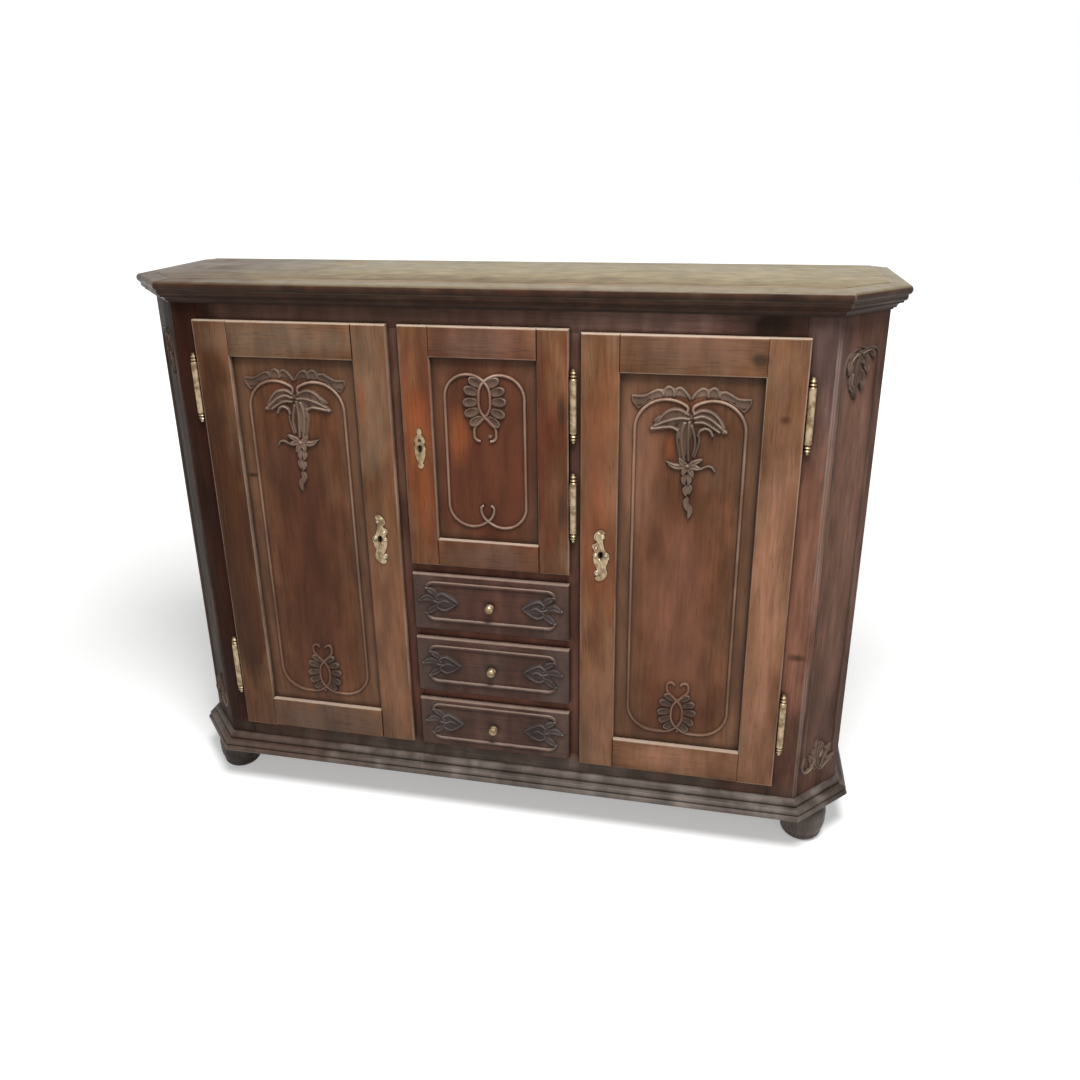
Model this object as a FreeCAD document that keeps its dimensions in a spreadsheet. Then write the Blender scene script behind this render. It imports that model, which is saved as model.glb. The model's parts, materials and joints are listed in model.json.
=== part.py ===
import FreeCAD, Part
import math
import os
import re
import Sketcher

Vector = FreeCAD.Vector

# Driving sizes in millimetres
SIZES = {
    # The carcass: a shallow case with both front corners cut off at 45 degrees
    "cabinet_height": 996,
    "carcass_width": 1228,
    "carcass_depth": 280,
    "cant_leg": 77,
    "board_thickness": 24,
    "back_thickness": 12,
    "floor_thickness": 18,
    "partition_thickness": 18,
    "rail_tenon": 18,
    "mullion_tenon": 12,
    "tenon_thickness": 10,
    # The top, its nosing and the cornice under it
    "top_thickness": 17,
    "nosing_reach": 26,
    "nosing_width": 30,
    "nosing_drop": 0.8,
    "nosing_undercut": 4,
    "nosing_nose": 8.1,
    "cornice_height": 23,
    "cornice_reach": 21,
    "cornice_fillet": 3,
    "cornice_cove": 9.5,
    "cornice_ovolo": 5.5,
    # The plinth and its bun feet
    "plinth_height": 33,
    "plinth_reach": 23,
    "plinth_inside": 44,
    "plinth_bead_step": 3,
    "plinth_shelf": 8,
    "plinth_ovolo": 10,
    "foot_height": 76,
    "foot_diameter": 82,
    "foot_inset": 22,
    "foot_back_gap": 4,
    "foot_spigot_diameter": 24,
    "foot_spigot_length": 26,
    # Where the doors and drawers lie on the front
    "frieze_margin": 27,
    "base_margin": 32,
    "corner_margin": 40,
    "mullion_margin": 18,
    "centre_door_width": 278,
    "drawer_gap": 18,
    "upper_drawer_height": 108,
    "middle_drawer_height": 110,
    "lower_drawer_height": 99,
    "front_overlap": 7,
    "front_clearance": 1.5,
    "front_proud": 10,
    # Door frames and their panels
    "door_thickness": 28,
    "stile_width": 61,
    "rail_width": 60,
    "centre_stile_width": 52,
    "centre_rail_width": 50,
    "panel_recess": 9,
    "panel_thickness": 10,
    "panel_tongue": 8,
    "panel_play": 1,
    "door_tenon": 32,
    "tenon_shoulder": 12,
    "right_door_drop": 5,
    # The raised string carved on the panels: uprights, a scrolled head, a knotted foot
    "string_width": 6.5,
    "string_relief": 3.4,
    "string_under": 0.4,
    "string_root": 1,
    "string_spread": 85,
    "string_head": 41,
    "string_foot": 24,
    "head_bend": 49,
    "foot_bend": 48,
    "scroll_sweep": 52,
    "scroll_curl": 7,
    "knot_run": 10,
    "knot_rise": 38,
    "knot_loop": 32,
    "knot_flank": 8,
    "knot_crossing": 20,
    "lobe_shoulder": 15,
    "lobe_rise": 5,
    "lobe_curl": 6.5,
    "centre_string_spread": 66,
    "centre_string_head": 28,
    "centre_string_foot": 26,
    "centre_bend": 39,
    "centre_knot_flank": 13,
    "centre_lobe_rise": 7,
    "centre_lobe_curl": 9,
    "heart_run": 6,
    "heart_lobe": 27,
    "drawer_string_length": 200,
    "drawer_string_spacing": 71,
    "drawer_string_lift": 3,
    "drawer_string_bend": 16,
    # Hinges with turned barrels
    "hinge_radius": 6,
    "hinge_gap": 0.5,
    "barrel_length": 44,
    "finial_length": 16,
    "hinge_inset_top": 117,
    "hinge_inset_bottom": 126,
    "centre_hinge_spacing": 172,
    "pin_radius": 3,
    "pin_clearance": 0.05,
    "pin_length": 34,
    "bore_depth": 37,
    "leaf_thickness": 2.5,
    "leaf_height": 36,
    "leaf_depth": 20,
    "hinge_split": 0.3,
    # Locks and keyhole plates
    "lock_height": 56,
    "lock_width": 34,
    "lock_depth": 13,
    "bolt_height": 14,
    "bolt_thickness": 5,
    "bolt_length": 24,
    "bolt_throw": 9,
    "bolt_clearance": 0.3,
    "mortise_clearance": 1,
    "mortise_end_room": 2,
    "keyhole_radius": 2.6,
    "keyhole_drop": 8,
    "side_key_height": 556,
    "side_key_inset": 35,
    "centre_key_height": 725,
    "centre_key_inset": 29,
    "side_plate_length": 93,
    "centre_plate_length": 70,
    "plate_thickness": 1.6,
    "ring_hole_radius": 3,
    # Drawers
    "drawer_front_thickness": 22,
    "drawer_depth": 215,
    "drawer_side_thickness": 11,
    "drawer_headroom": 5,
    "drawer_bottom_thickness": 7,
    "drawer_bottom_raise": 6,
    "drawer_groove": 5,
    "drawer_play": 0.3,
    "dovetail_length": 9,
    "dovetail_root": 15,
    "dovetail_tip": 21,
    "runner_size": 16,
    "knob_radius": 8,
    "knob_reach": 15,
    "knob_shank_radius": 2.5,
    "knob_shank_length": 15,
    # Shelves
    "shelf_height": 392,
    "shelf_thickness": 18,
    "shelf_setback": 16,
    "cleat_size": 18,
}

# Places worked out from the driving sizes
PLACES = {
    "half_width": "carcass_width / 2",
    "arris_x": "half_width - cant_leg",
    "front_y": "(nosing_reach - carcass_depth) / 2",
    "back_y": "front_y + carcass_depth",
    "cant_y": "front_y + cant_leg",
    "inner_x": "half_width - board_thickness",
    "inner_front_y": "front_y + board_thickness",
    "inner_back_y": "back_y - back_thickness",
    "inner_cant_y": "cant_y + board_thickness * tan(22.5)",
    "inner_arris_x": "arris_x - board_thickness * tan(22.5)",
    "top_underside": "cabinet_height - top_thickness",
    "cornice_bottom": "top_underside - cornice_height",
    "plinth_top": "foot_height + plinth_height",
    "door_bottom": "plinth_top + base_margin",
    "door_top": "cornice_bottom - frieze_margin",
    "opening_bottom": "door_bottom + front_overlap",
    "opening_top": "door_top - front_overlap",
    "centre_x": "centre_door_width / 2",
    "centre_opening_x": "centre_x - front_overlap",
    "door_inner_x": "centre_x + mullion_margin",
    "door_outer_x": "arris_x - corner_margin",
    "side_opening_inner_x": "door_inner_x + front_overlap",
    "side_opening_outer_x": "door_outer_x - front_overlap",
    "partition_x": "centre_opening_x + partition_thickness",
    "front_face_y": "front_y - front_proud",
    "door_back_y": "front_face_y + door_thickness",
    "panel_front_y": "front_face_y + panel_recess",
    "panel_back_y": "panel_front_y + panel_thickness",
    "lower_drawer_bottom": "door_bottom",
    "lower_drawer_top": "lower_drawer_bottom + lower_drawer_height",
    "middle_drawer_bottom": "lower_drawer_top + drawer_gap",
    "middle_drawer_top": "middle_drawer_bottom + middle_drawer_height",
    "upper_drawer_bottom": "middle_drawer_top + drawer_gap",
    "upper_drawer_top": "upper_drawer_bottom + upper_drawer_height",
    "centre_door_bottom": "upper_drawer_top + drawer_gap",
    "cupboard_floor_top": "centre_door_bottom + front_overlap",
    "floor_top": "opening_bottom",
    "hinge_y": "front_y - hinge_radius - hinge_gap",
    "shelf_top": "floor_top + shelf_height",
    "shelf_front_y": "inner_front_y + shelf_setback",
    "lock_front_y": "door_back_y - lock_depth",
    "bolt_y": "lock_front_y + lock_depth / 2",
    "drawer_back_y": "front_face_y + drawer_front_thickness",
}

SHEET_OF = {name: "sizes." for name in SIZES} | {name: "places." for name in PLACES}
MITRE = "tan(22.5)"

# How far a cutting block runs past what it cuts, in millimetres
PAST = "1"

doc = FreeCAD.newDocument("side_cabinet")
nodes = {}


def formula(text, own_sheet=""):
    """The text with each size's name led by its sheet's name."""
    def with_sheet(word):
        sheet_name = SHEET_OF.get(word.group(), "")
        return word.group() if sheet_name == own_sheet else sheet_name + word.group()
    return re.sub(r"[a-z]\w*", with_sheet, text)


def fill_sheet(name, cells):
    sheet = doc.addObject("Spreadsheet::Sheet", name)
    for row, (alias, content) in enumerate(cells.items(), start=1):
        sheet.set(f"A{row}", alias)
        sheet.set(f"B{row}", content)
        sheet.setAlias(f"B{row}", alias)
    doc.recompute()
    return sheet


fill_sheet("sizes", {name: str(size) for name, size in SIZES.items()})
places = fill_sheet("places", {name: "=" + formula(text, "places.") for name, text in PLACES.items()})


def number(text):
    """What an expression comes to at the sizes in the sheets."""
    return float(places.evalExpression(formula(text)))


def bind(piece, **expressions):
    for name, text in expressions.items():
        piece.setExpression(name, formula(text))


def place(piece, x="0", y="0", z="0"):
    for axis, text in (("x", x), ("y", y), ("z", z)):
        piece.setExpression(f".Placement.Base.{axis}", formula(text))


def node(name, piece):
    """Names the finished piece and keeps it for the STEP files."""
    piece.Label = name
    nodes[name] = piece
    return piece


def box(name, x, y, z):
    """A block between a low and a high expression on each axis."""
    block = doc.addObject("Part::Box", name)
    bind(block, Length=f"({x[1]}) - ({x[0]})", Width=f"({y[1]}) - ({y[0]})", Height=f"({z[1]}) - ({z[0]})")
    place(block, x[0], y[0], z[0])
    return block


def fuse(name, pieces):
    joined = doc.addObject("Part::MultiFuse", name)
    joined.Shapes = pieces
    joined.Refine = True
    return joined


def cut(name, base, tools):
    remainder = doc.addObject("Part::Cut", name)
    remainder.Base = base
    remainder.Tool = tools[0] if len(tools) == 1 else fuse(name + "_tools", tools)
    return remainder


def group(name, pieces):
    """Separate solids that share one node."""
    together = doc.addObject("Part::Compound", name)
    together.Links = pieces
    return together


def span(side, low, high):
    """A stretch of x on the right half, or its mirror image on the left half."""
    return (low, high) if side > 0 else (f"-({high})", f"-({low})")


def add_leg(sketch, start, end, radius_text="0"):
    """One leg of a sketch, straight or round: its number and the marks of its start and end."""
    radius = number(radius_text)
    if radius == 0:
        return sketch.addGeometry(Part.LineSegment(start, end)), 1, 2
    chord = end - start
    left = Vector(-chord.y, chord.x, 0).normalize()
    centre_offset = math.sqrt(max(radius * radius - chord.Length ** 2 / 4, 0))
    centre = (start + end) * 0.5 + left * math.copysign(centre_offset, radius)
    angles = [math.atan2(point.y - centre.y, point.x - centre.x) for point in (start, end)]
    first, last = angles if radius > 0 else reversed(angles)
    circle = Part.Circle(centre, Vector(0, 0, 1), abs(radius))
    leg = sketch.addGeometry(Part.ArcOfCircle(circle, first, last))
    limit = sketch.addConstraint(Sketcher.Constraint("Radius", leg, abs(radius)))
    sketch.setExpression(f"Constraints[{limit}]", formula(f"abs({radius_text})"))
    return (leg, 1, 2) if radius > 0 else (leg, 2, 1)


def hold(sketch, leg, mark, corner):
    """Ties one end of a leg to its place on the sketch."""
    for kind, text in zip(("DistanceX", "DistanceY"), corner):
        limit = sketch.addConstraint(Sketcher.Constraint(kind, leg, mark, number(text)))
        sketch.setExpression(f"Constraints[{limit}]", formula(text))


def sketch_on(body, name, role, outline, is_closed=True):
    """A sketch on one of the body's own planes. Each corner is (across, up), and a third entry is the
    radius of the arc that leads to that corner: positive turns left on the way there and so bulges
    out on a counter-clockwise outline, negative turns right. An open line starts at its first corner."""
    sketch = body.newObject("Sketcher::SketchObject", name)
    plane = next(feature for feature in body.Origin.OriginFeatures if feature.Role == role)
    sketch.AttachmentSupport = (plane, [""])
    sketch.MapMode = "FlatFace"
    points = [Vector(number(corner[0]), number(corner[1]), 0) for corner in outline]
    reached = list(range(0 if is_closed else 1, len(outline)))
    legs = [add_leg(sketch, points[index - 1], points[index], *outline[index][2:]) for index in reached]
    for (leg, _, last), index in zip(legs, reached):
        hold(sketch, leg, last, outline[index])
    for (leg, _, last), (following, first, _) in zip(legs, legs[1:] + legs[:1] * is_closed):
        sketch.addConstraint(Sketcher.Constraint("Coincident", leg, last, following, first))
    if not is_closed:
        leg, first, _ = legs[0]
        hold(sketch, leg, first, outline[0])
    return sketch


def new_body(name, across=(1, 0, 0), up=(0, 1, 0)):
    """A body whose own X and Y axes point along the two directions."""
    body = doc.addObject("PartDesign::Body", name)
    along = Vector(*across).cross(Vector(*up))
    turn = FreeCAD.Rotation(Vector(*across), Vector(*up), along, "ZXY")
    body.Placement = FreeCAD.Placement(Vector(), turn)
    return body


def slab(name, outline, low, high):
    """A board of any plan, between two heights."""
    body = new_body(name)
    pad = body.newObject("PartDesign::Pad", name + "_pad")
    pad.Profile = sketch_on(body, name + "_plan", "XY_Plane", outline)
    bind(pad, Length=f"({high}) - ({low})")
    place(body, z=low)
    return body


def turning(name, profile, across=(1, 0, 0), up=(0, 1, 0)):
    """A piece turned about its own Z axis. The profile lists (radius, height) corners."""
    body = new_body(name, across, up)
    sketch = sketch_on(body, name + "_profile", "XZ_Plane", profile)
    revolution = body.newObject("PartDesign::Revolution", name + "_turned")
    revolution.Profile = sketch
    revolution.ReferenceAxis = (sketch, ["V_Axis"])
    revolution.Angle = 360
    return body


def tangent_line(moves, hand):
    """Corners of a line that starts at the origin along +Y. Each move is a straight run (length, 0) or
    an arc (radius, degrees turned): positive degrees turn left, and hand -1 mirrors the line."""
    across, up, heading = "0", "0", math.radians(90)
    corners = [(across, up)]
    for size, degrees in moves:
        turn = math.radians(degrees * hand)
        if turn == 0:
            step = math.cos(heading), math.sin(heading)
        else:
            left = math.copysign(1, turn)
            step = (left * (math.sin(heading + turn) - math.sin(heading)),
                    left * (math.cos(heading) - math.cos(heading + turn)))
        across += f" + ({size}) * {step[0]:.9f}"
        up += f" + ({size}) * {step[1]:.9f}"
        radius = [f"{math.copysign(1, turn):.0f} * ({size})"] if turn else []
        corners.append((across, up, *radius))
        heading += turn
    return corners


def string_bead(name, moves, hand, across, up, relief):
    """A half-round bead that follows a line over a flat face, rooted a little below that face."""
    body = new_body(name, across, up)
    half = "string_width / 2"
    crown = f"(({half}) ^ 2 + ({relief}) ^ 2) / (2 * ({relief}))"
    section = [(f"-{half}", "-string_root"), (half, "-string_root"), (half, "0"), (f"-{half}", "0", crown)]
    bead = body.newObject("PartDesign::AdditivePipe", name + "_bead")
    bead.Profile = sketch_on(body, name + "_section", "XZ_Plane", section)
    bead.Spine = sketch_on(body, name + "_line", "XY_Plane", tangent_line(moves, hand), False)
    return body


def moulding_run(name, profile, reach, inside, length, ends, outward):
    """One straight length of moulding. The profile lists (outward, up) corners. Each end is the
    slope of its mitre, 0 for a square end."""
    body = new_body(name, outward, (0, 0, 1))
    pad = body.newObject("PartDesign::Pad", name + "_pad")
    pad.Profile = sketch_on(body, name + "_profile", "XY_Plane", profile)
    pad.SideType = "Symmetric"
    bind(pad, Length=f"({length}) + 4 * ({reach})")
    for sign, slope in zip((1, -1), ends):
        def at(out, text):
            return out, f"{sign} * (({length}) / 2 + {text})"
        low, high = f"-({inside}) - {PAST}", f"({reach}) + {PAST}"
        corners = [
            at(low, f"({low}) * {slope}"), at(high, f"({high}) * {slope}"),
            at(high, f"3 * ({reach})"), at(low, f"3 * ({reach})"),
        ]
        label = name + ("_near_end" if sign > 0 else "_far_end")
        pocket = body.newObject("PartDesign::Pocket", label)
        pocket.Profile = sketch_on(body, label + "_mitre", "XZ_Plane", corners)
        pocket.Type = "ThroughAll"
        pocket.SideType = "Symmetric"
    return body


def moulding(name, profile, reach, inside, low):
    """Mitred lengths of one moulding round the front, the cants and the sides."""
    runs = []
    mitred = (MITRE, MITRE)
    front = moulding_run(name + "_front", profile, reach, inside, "2 * arris_x", mitred, (0, -1, 0))
    place(front, "0", "front_y", low)
    runs.append(front)
    for side, label in ((1, "right"), (-1, "left")):
        cant = moulding_run(f"{name}_{label}_cant", profile, reach, inside, "cant_leg * sqrt(2)",
                            mitred, (side * math.sqrt(0.5), -math.sqrt(0.5), 0))
        place(cant, f"{side} * (half_width - cant_leg / 2)", "front_y + cant_leg / 2", low)
        ends = (MITRE, "0") if side > 0 else ("0", MITRE)
        flank = moulding_run(f"{name}_{label}_side", profile, reach, inside, "carcass_depth - cant_leg",
                             ends, (side, 0, 0))
        place(flank, f"{side} * half_width", "(cant_y + back_y) / 2", low)
        runs += [cant, flank]
    return runs


def canted_plan(front, x, cant_x, cant_y, back):
    """A plan with both front corners cut off."""
    return [
        (f"-({cant_x})", front), (cant_x, front), (x, cant_y),
        (x, back), (f"-({x})", back), (f"-({x})", cant_y),
    ]


# The top: a plain field in a mitred nosing, over a stepped cornice
def build_top():
    field_reach = "(nosing_reach - nosing_width)"
    plan = canted_plan(f"front_y - {field_reach}", f"half_width + {field_reach}",
                       f"arris_x + {field_reach} * {MITRE}", f"cant_y - {field_reach} * {MITRE}", "back_y")
    node("top_board", slab("top_field", plan, "top_underside", "cabinet_height"))
    nosing = [
        (field_reach, "0"), ("nosing_reach - nosing_undercut", "0"),
        ("nosing_reach", "top_thickness * 0.41", "nosing_nose"),
        ("nosing_reach - nosing_undercut", "top_thickness * 0.82", "nosing_nose"),
        (field_reach, "top_thickness - nosing_drop"),
    ]
    lengths = moulding("nosing", nosing, "nosing_reach", "nosing_width", "top_underside")
    node("top_nosing", group("nosing_lengths", lengths))
    cornice = [
        ("0", "0"), ("cornice_fillet", "0"), ("cornice_fillet", "cornice_fillet"),
        ("cornice_reach * 0.33", "cornice_fillet"),
        ("cornice_reach * 0.62", "cornice_height * 0.46", "-cornice_cove"),
        ("cornice_reach * 0.76", "cornice_height * 0.46"), ("cornice_reach * 0.76", "cornice_height * 0.58"),
        ("cornice_reach", "cornice_height * 0.78", "cornice_ovolo"),
        ("cornice_reach", "cornice_height"), ("0", "cornice_height"),
    ]
    lengths = moulding("cornice", cornice, "cornice_reach", "0", "cornice_bottom")
    node("cornice_moulding", group("cornice_lengths", lengths))


# The plinth: a mitred frame with a moulded front, closed by a plain rail at the back
def build_plinth():
    profile = [
        ("-plinth_inside", "0"), ("plinth_reach - plinth_bead_step", "0"),
        ("plinth_reach - plinth_bead_step", "plinth_height * 0.3", "plinth_height * 0.18"),
        ("plinth_reach - 2 * plinth_bead_step", "plinth_height * 0.3"),
        ("plinth_reach - 3 * plinth_bead_step", "plinth_height * 0.58", "plinth_height * 0.16"),
        ("plinth_shelf", "plinth_height * 0.58"), ("plinth_shelf", "plinth_height * 0.66"),
        ("0", "plinth_height", "plinth_ovolo"), ("-plinth_inside", "plinth_height"),
    ]
    runs = moulding("plinth", profile, "plinth_reach", "plinth_inside", "foot_height")
    rail_x = "half_width - plinth_inside"
    runs.append(box("plinth_back", (f"-({rail_x})", rail_x), ("back_y - plinth_inside", "back_y"),
                    ("foot_height", "plinth_top")))
    return runs


FOOT_PROFILE = [
    ("0", "0"), ("foot_diameter * 0.3", "0"),
    ("foot_diameter * 0.44", "foot_height * 0.2", "foot_height * 0.17"),
    ("foot_diameter * 0.5", "foot_height * 0.58", "foot_height * 0.75"),
    ("foot_diameter * 0.38", "foot_height * 0.94", "foot_height * 0.35"),
    ("foot_diameter * 0.38", "foot_height"),
    ("foot_spigot_diameter / 2", "foot_height"),
    ("foot_spigot_diameter / 2", "foot_height + foot_spigot_length"),
    ("0", "foot_height + foot_spigot_length"),
]


def build_feet():
    """Turned feet whose spigots stand in holes in the plinth."""
    corner_x = "half_width - cant_leg / 2 - foot_inset * sqrt(0.5)"
    corner_y = "front_y + cant_leg / 2 + foot_inset * sqrt(0.5)"
    rear_x, rear_y = "half_width - foot_inset", "back_y - foot_diameter / 2 - foot_back_gap"
    feet, holes = [], []
    for label, side, x, y in (("front_right", 1, corner_x, corner_y), ("front_left", -1, corner_x, corner_y),
                              ("rear_right", 1, rear_x, rear_y), ("rear_left", -1, rear_x, rear_y)):
        foot = turning(f"{label}_foot", FOOT_PROFILE)
        place(foot, f"{side} * ({x})", y)
        feet.append(foot)
        hole = doc.addObject("Part::Cylinder", f"{label}_foot_hole")
        bind(hole, Radius="foot_spigot_diameter / 2", Height="foot_spigot_length")
        place(hole, f"{side} * ({x})", y, "foot_height")
        holes.append(hole)
    bored = []
    for run in build_plinth():
        for hole in holes:
            run = cut(f"{run.Name}_{hole.Name}", run, [hole])
        bored.append(run)
    node("plinth_frame", group("plinth_members", bored))
    node("bun_feet", group("feet", feet))


# The case
def build_case():
    full = ("plinth_top", "top_underside")
    for side, label in ((1, "right"), (-1, "left")):
        def corner(x, y):
            return f"{side} * ({x})", y
        def ordered(*corners):
            return list(corners) if side > 0 else list(reversed(corners))
        cant_panel = ordered(corner("arris_x", "front_y"), corner("half_width", "cant_y"),
                             corner("inner_x", "inner_cant_y"), corner("inner_arris_x", "inner_front_y"))
        node(f"{label}_cant_panel", slab(f"{label}_cant", cant_panel, *full))
        side_panel = ordered(corner("half_width", "cant_y"), corner("half_width", "back_y"),
                             corner("inner_x", "back_y"), corner("inner_x", "inner_cant_y"))
        node(f"{label}_side_panel", slab(f"{label}_flank", side_panel, *full))
        stile = ordered(corner("side_opening_outer_x", "front_y"), corner("arris_x", "front_y"),
                        corner("inner_arris_x", "inner_front_y"),
                        corner("side_opening_outer_x", "inner_front_y"))
        blank = slab(f"{label}_corner_blank", stile, *full)
        mortises = [rail_tenon(side, f"{label}_stile", *rail) for rail in (FRIEZE, BASE)]
        node(f"{label}_corner_stile", cut(f"{label}_corner_cut", blank, mortises + hinge_slots(label)))
        partition = box(f"{label}_partition_board", span(side, "centre_opening_x", "partition_x"),
                        ("inner_front_y", "inner_back_y"), ("floor_top", "top_underside"))
        node(f"{label}_partition", partition)
    floor = canted_plan("inner_front_y", "inner_x", "inner_arris_x", "inner_cant_y", "inner_back_y")
    node("bottom_board", slab("case_floor", floor, "floor_top - floor_thickness", "floor_top"))
    boards = []
    board_count = 6
    for index in range(board_count):
        edge = [f"-inner_x + 2 * inner_x * {step} / {board_count}" for step in (index, index + 1)]
        boards.append(box(f"back_board_{index + 1}", edge, ("inner_back_y", "back_y"), full))
    node("back_boards", group("back_planks", boards))


FRIEZE = ("frieze", "opening_top", "top_underside")
BASE = ("base", "plinth_top", "opening_bottom")
MIDDLE_Y = ("front_y + (board_thickness - tenon_thickness) / 2",
            "front_y + (board_thickness + tenon_thickness) / 2")


def rail_tenon(side, owner, rail, low, high):
    """The tongue of a long rail that goes into a corner stile."""
    reach = span(side, "side_opening_outer_x", "side_opening_outer_x + rail_tenon")
    return box(f"{owner}_{rail}_tenon", reach, MIDDLE_Y,
               (f"{low} + tenon_shoulder / 2", f"{high} - tenon_shoulder / 2"))


def mullion_tenon(side, owner, rail, low, high):
    """The tongue of a mullion that goes up or down into a long rail."""
    reach = (low, f"{low} + mullion_tenon") if rail == "frieze" else (f"{high} - mullion_tenon", high)
    width = span(side, "centre_opening_x + front_overlap", "side_opening_inner_x - front_overlap")
    return box(f"{owner}_{rail}_tongue", width, MIDDLE_Y, reach)


DIVIDERS = (
    ("cupboard", "upper_drawer_top - front_overlap", "centre_door_bottom + front_overlap"),
    ("upper", "middle_drawer_top - front_overlap", "upper_drawer_bottom + front_overlap"),
    ("lower", "lower_drawer_top - front_overlap", "middle_drawer_bottom + front_overlap"),
)


def divider_stub(side, owner, label, low, high):
    """The end of a drawer rail that is let into a mullion."""
    return box(f"{owner}_{label}_stub", span(side, "centre_opening_x", "centre_opening_x + mullion_tenon"),
               MIDDLE_Y, (f"{low} + front_overlap", f"{high} - front_overlap"))


def build_front_frame():
    """The long rails, the two mullions and the rails between the drawers."""
    for rail in (FRIEZE, BASE):
        label, low, high = rail
        bar = box(f"{label}_bar", ("-side_opening_outer_x", "side_opening_outer_x"),
                  ("front_y", "inner_front_y"), (low, high))
        ends = [rail_tenon(side, f"{label}_{side}", *rail) for side in (1, -1)]
        whole = fuse(f"{label}_with_tenons", [bar] + ends)
        slots = [mullion_tenon(side, f"{label}_{side}_slot", *rail) for side in (1, -1)]
        node(f"{label}_rail", cut(f"{label}_rail_cut", whole, slots))
    for side, label in ((1, "right"), (-1, "left")):
        bar = box(f"{label}_mullion_bar", span(side, "centre_opening_x", "side_opening_inner_x"),
                  ("front_y", "inner_front_y"), ("opening_bottom", "opening_top"))
        tongues = [mullion_tenon(side, f"{label}_mullion", *rail) for rail in (FRIEZE, BASE)]
        whole = fuse(f"{label}_mullion_whole", [bar] + tongues)
        slots = [divider_stub(side, f"{label}_mullion_slot", *divider) for divider in DIVIDERS]
        slots += bolt_mortises(label)
        if side > 0:
            slots += hinge_slots("centre")
        node(f"{label}_mullion", cut(f"{label}_mullion_cut", whole, slots))
    rails = []
    for divider in DIVIDERS:
        label, low, high = divider
        bar = box(f"{label}_divider_bar", ("-centre_opening_x", "centre_opening_x"),
                  ("front_y", "inner_front_y"), (low, high))
        stubs = [divider_stub(side, f"{label}_divider_{side}", *divider) for side in (1, -1)]
        rails.append(fuse(f"{label}_divider", [bar] + stubs))
    node("drawer_rails", group("dividers", rails))


def build_inside():
    """The cupboard floor, the drawer runners and a shelf on cleats in each side compartment."""
    node("cupboard_floor", box("cupboard_floor_board", ("-centre_opening_x", "centre_opening_x"),
                               ("inner_front_y", "inner_back_y"),
                               ("cupboard_floor_top - floor_thickness", "cupboard_floor_top")))
    runners, cleats = [], []
    for side, label in ((1, "right"), (-1, "left")):
        for drawer in ("upper", "middle"):
            level = f"{drawer}_drawer_bottom + front_overlap"
            width = span(side, "centre_opening_x - runner_size", "centre_opening_x")
            runners.append(box(f"{label}_{drawer}_runner", width, ("inner_front_y", "inner_back_y"),
                               (f"{level} - runner_size", level)))
        below = ("shelf_top - shelf_thickness - cleat_size", "shelf_top - shelf_thickness")
        cleats.append(box(f"{label}_inner_cleat", span(side, "partition_x", "partition_x + cleat_size"),
                          ("shelf_front_y", "inner_back_y"), below))
        cleats.append(box(f"{label}_outer_cleat", span(side, "inner_x - cleat_size", "inner_x"),
                          ("inner_cant_y", "inner_back_y"), below))
        def corner(x, y):
            return f"{side} * ({x})", y
        plan = [corner("partition_x", "shelf_front_y"),
                corner("inner_arris_x + shelf_setback", "shelf_front_y"),
                corner("inner_x", "inner_cant_y"), corner("inner_x", "inner_back_y"),
                corner("partition_x", "inner_back_y")]
        plan = plan if side > 0 else plan[::-1]
        shelf = slab(f"{label}_shelf_board", plan, "shelf_top - shelf_thickness", "shelf_top")
        node(f"{label}_shelf", shelf)
    node("drawer_runners", group("runners", runners))
    node("shelf_cleats", group("cleats", cleats))


class Door:
    """One framed door, described on the right half; side -1 mirrors it."""

    def __init__(self, label, side, free_x, hinge_x, opening, heights, widths, hinge_heights, kind):
        self.label = label
        self.side = side
        self.free_x = free_x
        self.hinge_x = hinge_x
        self.opening = opening
        self.low, self.high = heights
        self.stile, self.rail = widths
        self.hinge_heights = dict(zip(("upper", "lower"), hinge_heights))
        self.key_height = f"{kind}_key_height"
        self.plate_length = f"{kind}_plate_length"
        self.key_x = f"{side} * ({free_x} + {kind}_key_inset)"

    def x(self, low, high):
        return span(self.side, low, high)

    @property
    def axis_x(self):
        return f"{self.side} * ({self.hinge_x} + hinge_radius + hinge_gap)"

    @property
    def inner_edge_x(self):
        return f"{self.opening[0]} + front_clearance"


def side_door(label, side, drop):
    low, high = f"(door_bottom - {drop})", f"(door_top - {drop})"
    return Door(label, side, "door_inner_x", "door_outer_x",
                ("side_opening_inner_x", "side_opening_outer_x"), (low, high), ("stile_width", "rail_width"),
                (f"{high} - hinge_inset_top", f"{low} + hinge_inset_bottom"), "side")


def centre_door():
    middle = "(centre_door_bottom + door_top) / 2"
    return Door("centre", 1, "(-centre_x)", "centre_x", ("(-centre_opening_x)", "centre_opening_x"),
                ("centre_door_bottom", "door_top"), ("centre_stile_width", "centre_rail_width"),
                (f"{middle} + centre_hinge_spacing / 2", f"{middle} - centre_hinge_spacing / 2"), "centre")


DOORS = {
    "left": side_door("left", -1, "0"),
    "right": side_door("right", 1, "right_door_drop"),
    "centre": centre_door(),
}


def opening_heights(door):
    bottom = "cupboard_floor_top" if door.label == "centre" else "opening_bottom"
    return bottom, "opening_top"


def hinge_slots(label):
    """Slots in the case for the fixed leaves of a door's two hinges."""
    return [fixed_leaf(DOORS[label], place_name, "slot") for place_name in ("upper", "lower")]


def fixed_leaf(door, place_name, use):
    middle = door.hinge_heights[place_name]
    return box(f"{door.label}_{place_name}_fixed_leaf_{use}",
               (f"{door.axis_x} - leaf_thickness / 2", f"{door.axis_x} + leaf_thickness / 2"),
               ("hinge_y", "front_y + leaf_depth"),
               (f"{middle} - (barrel_length + leaf_height) / 2",
                f"{middle} - (barrel_length - leaf_height) / 2"))


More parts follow.
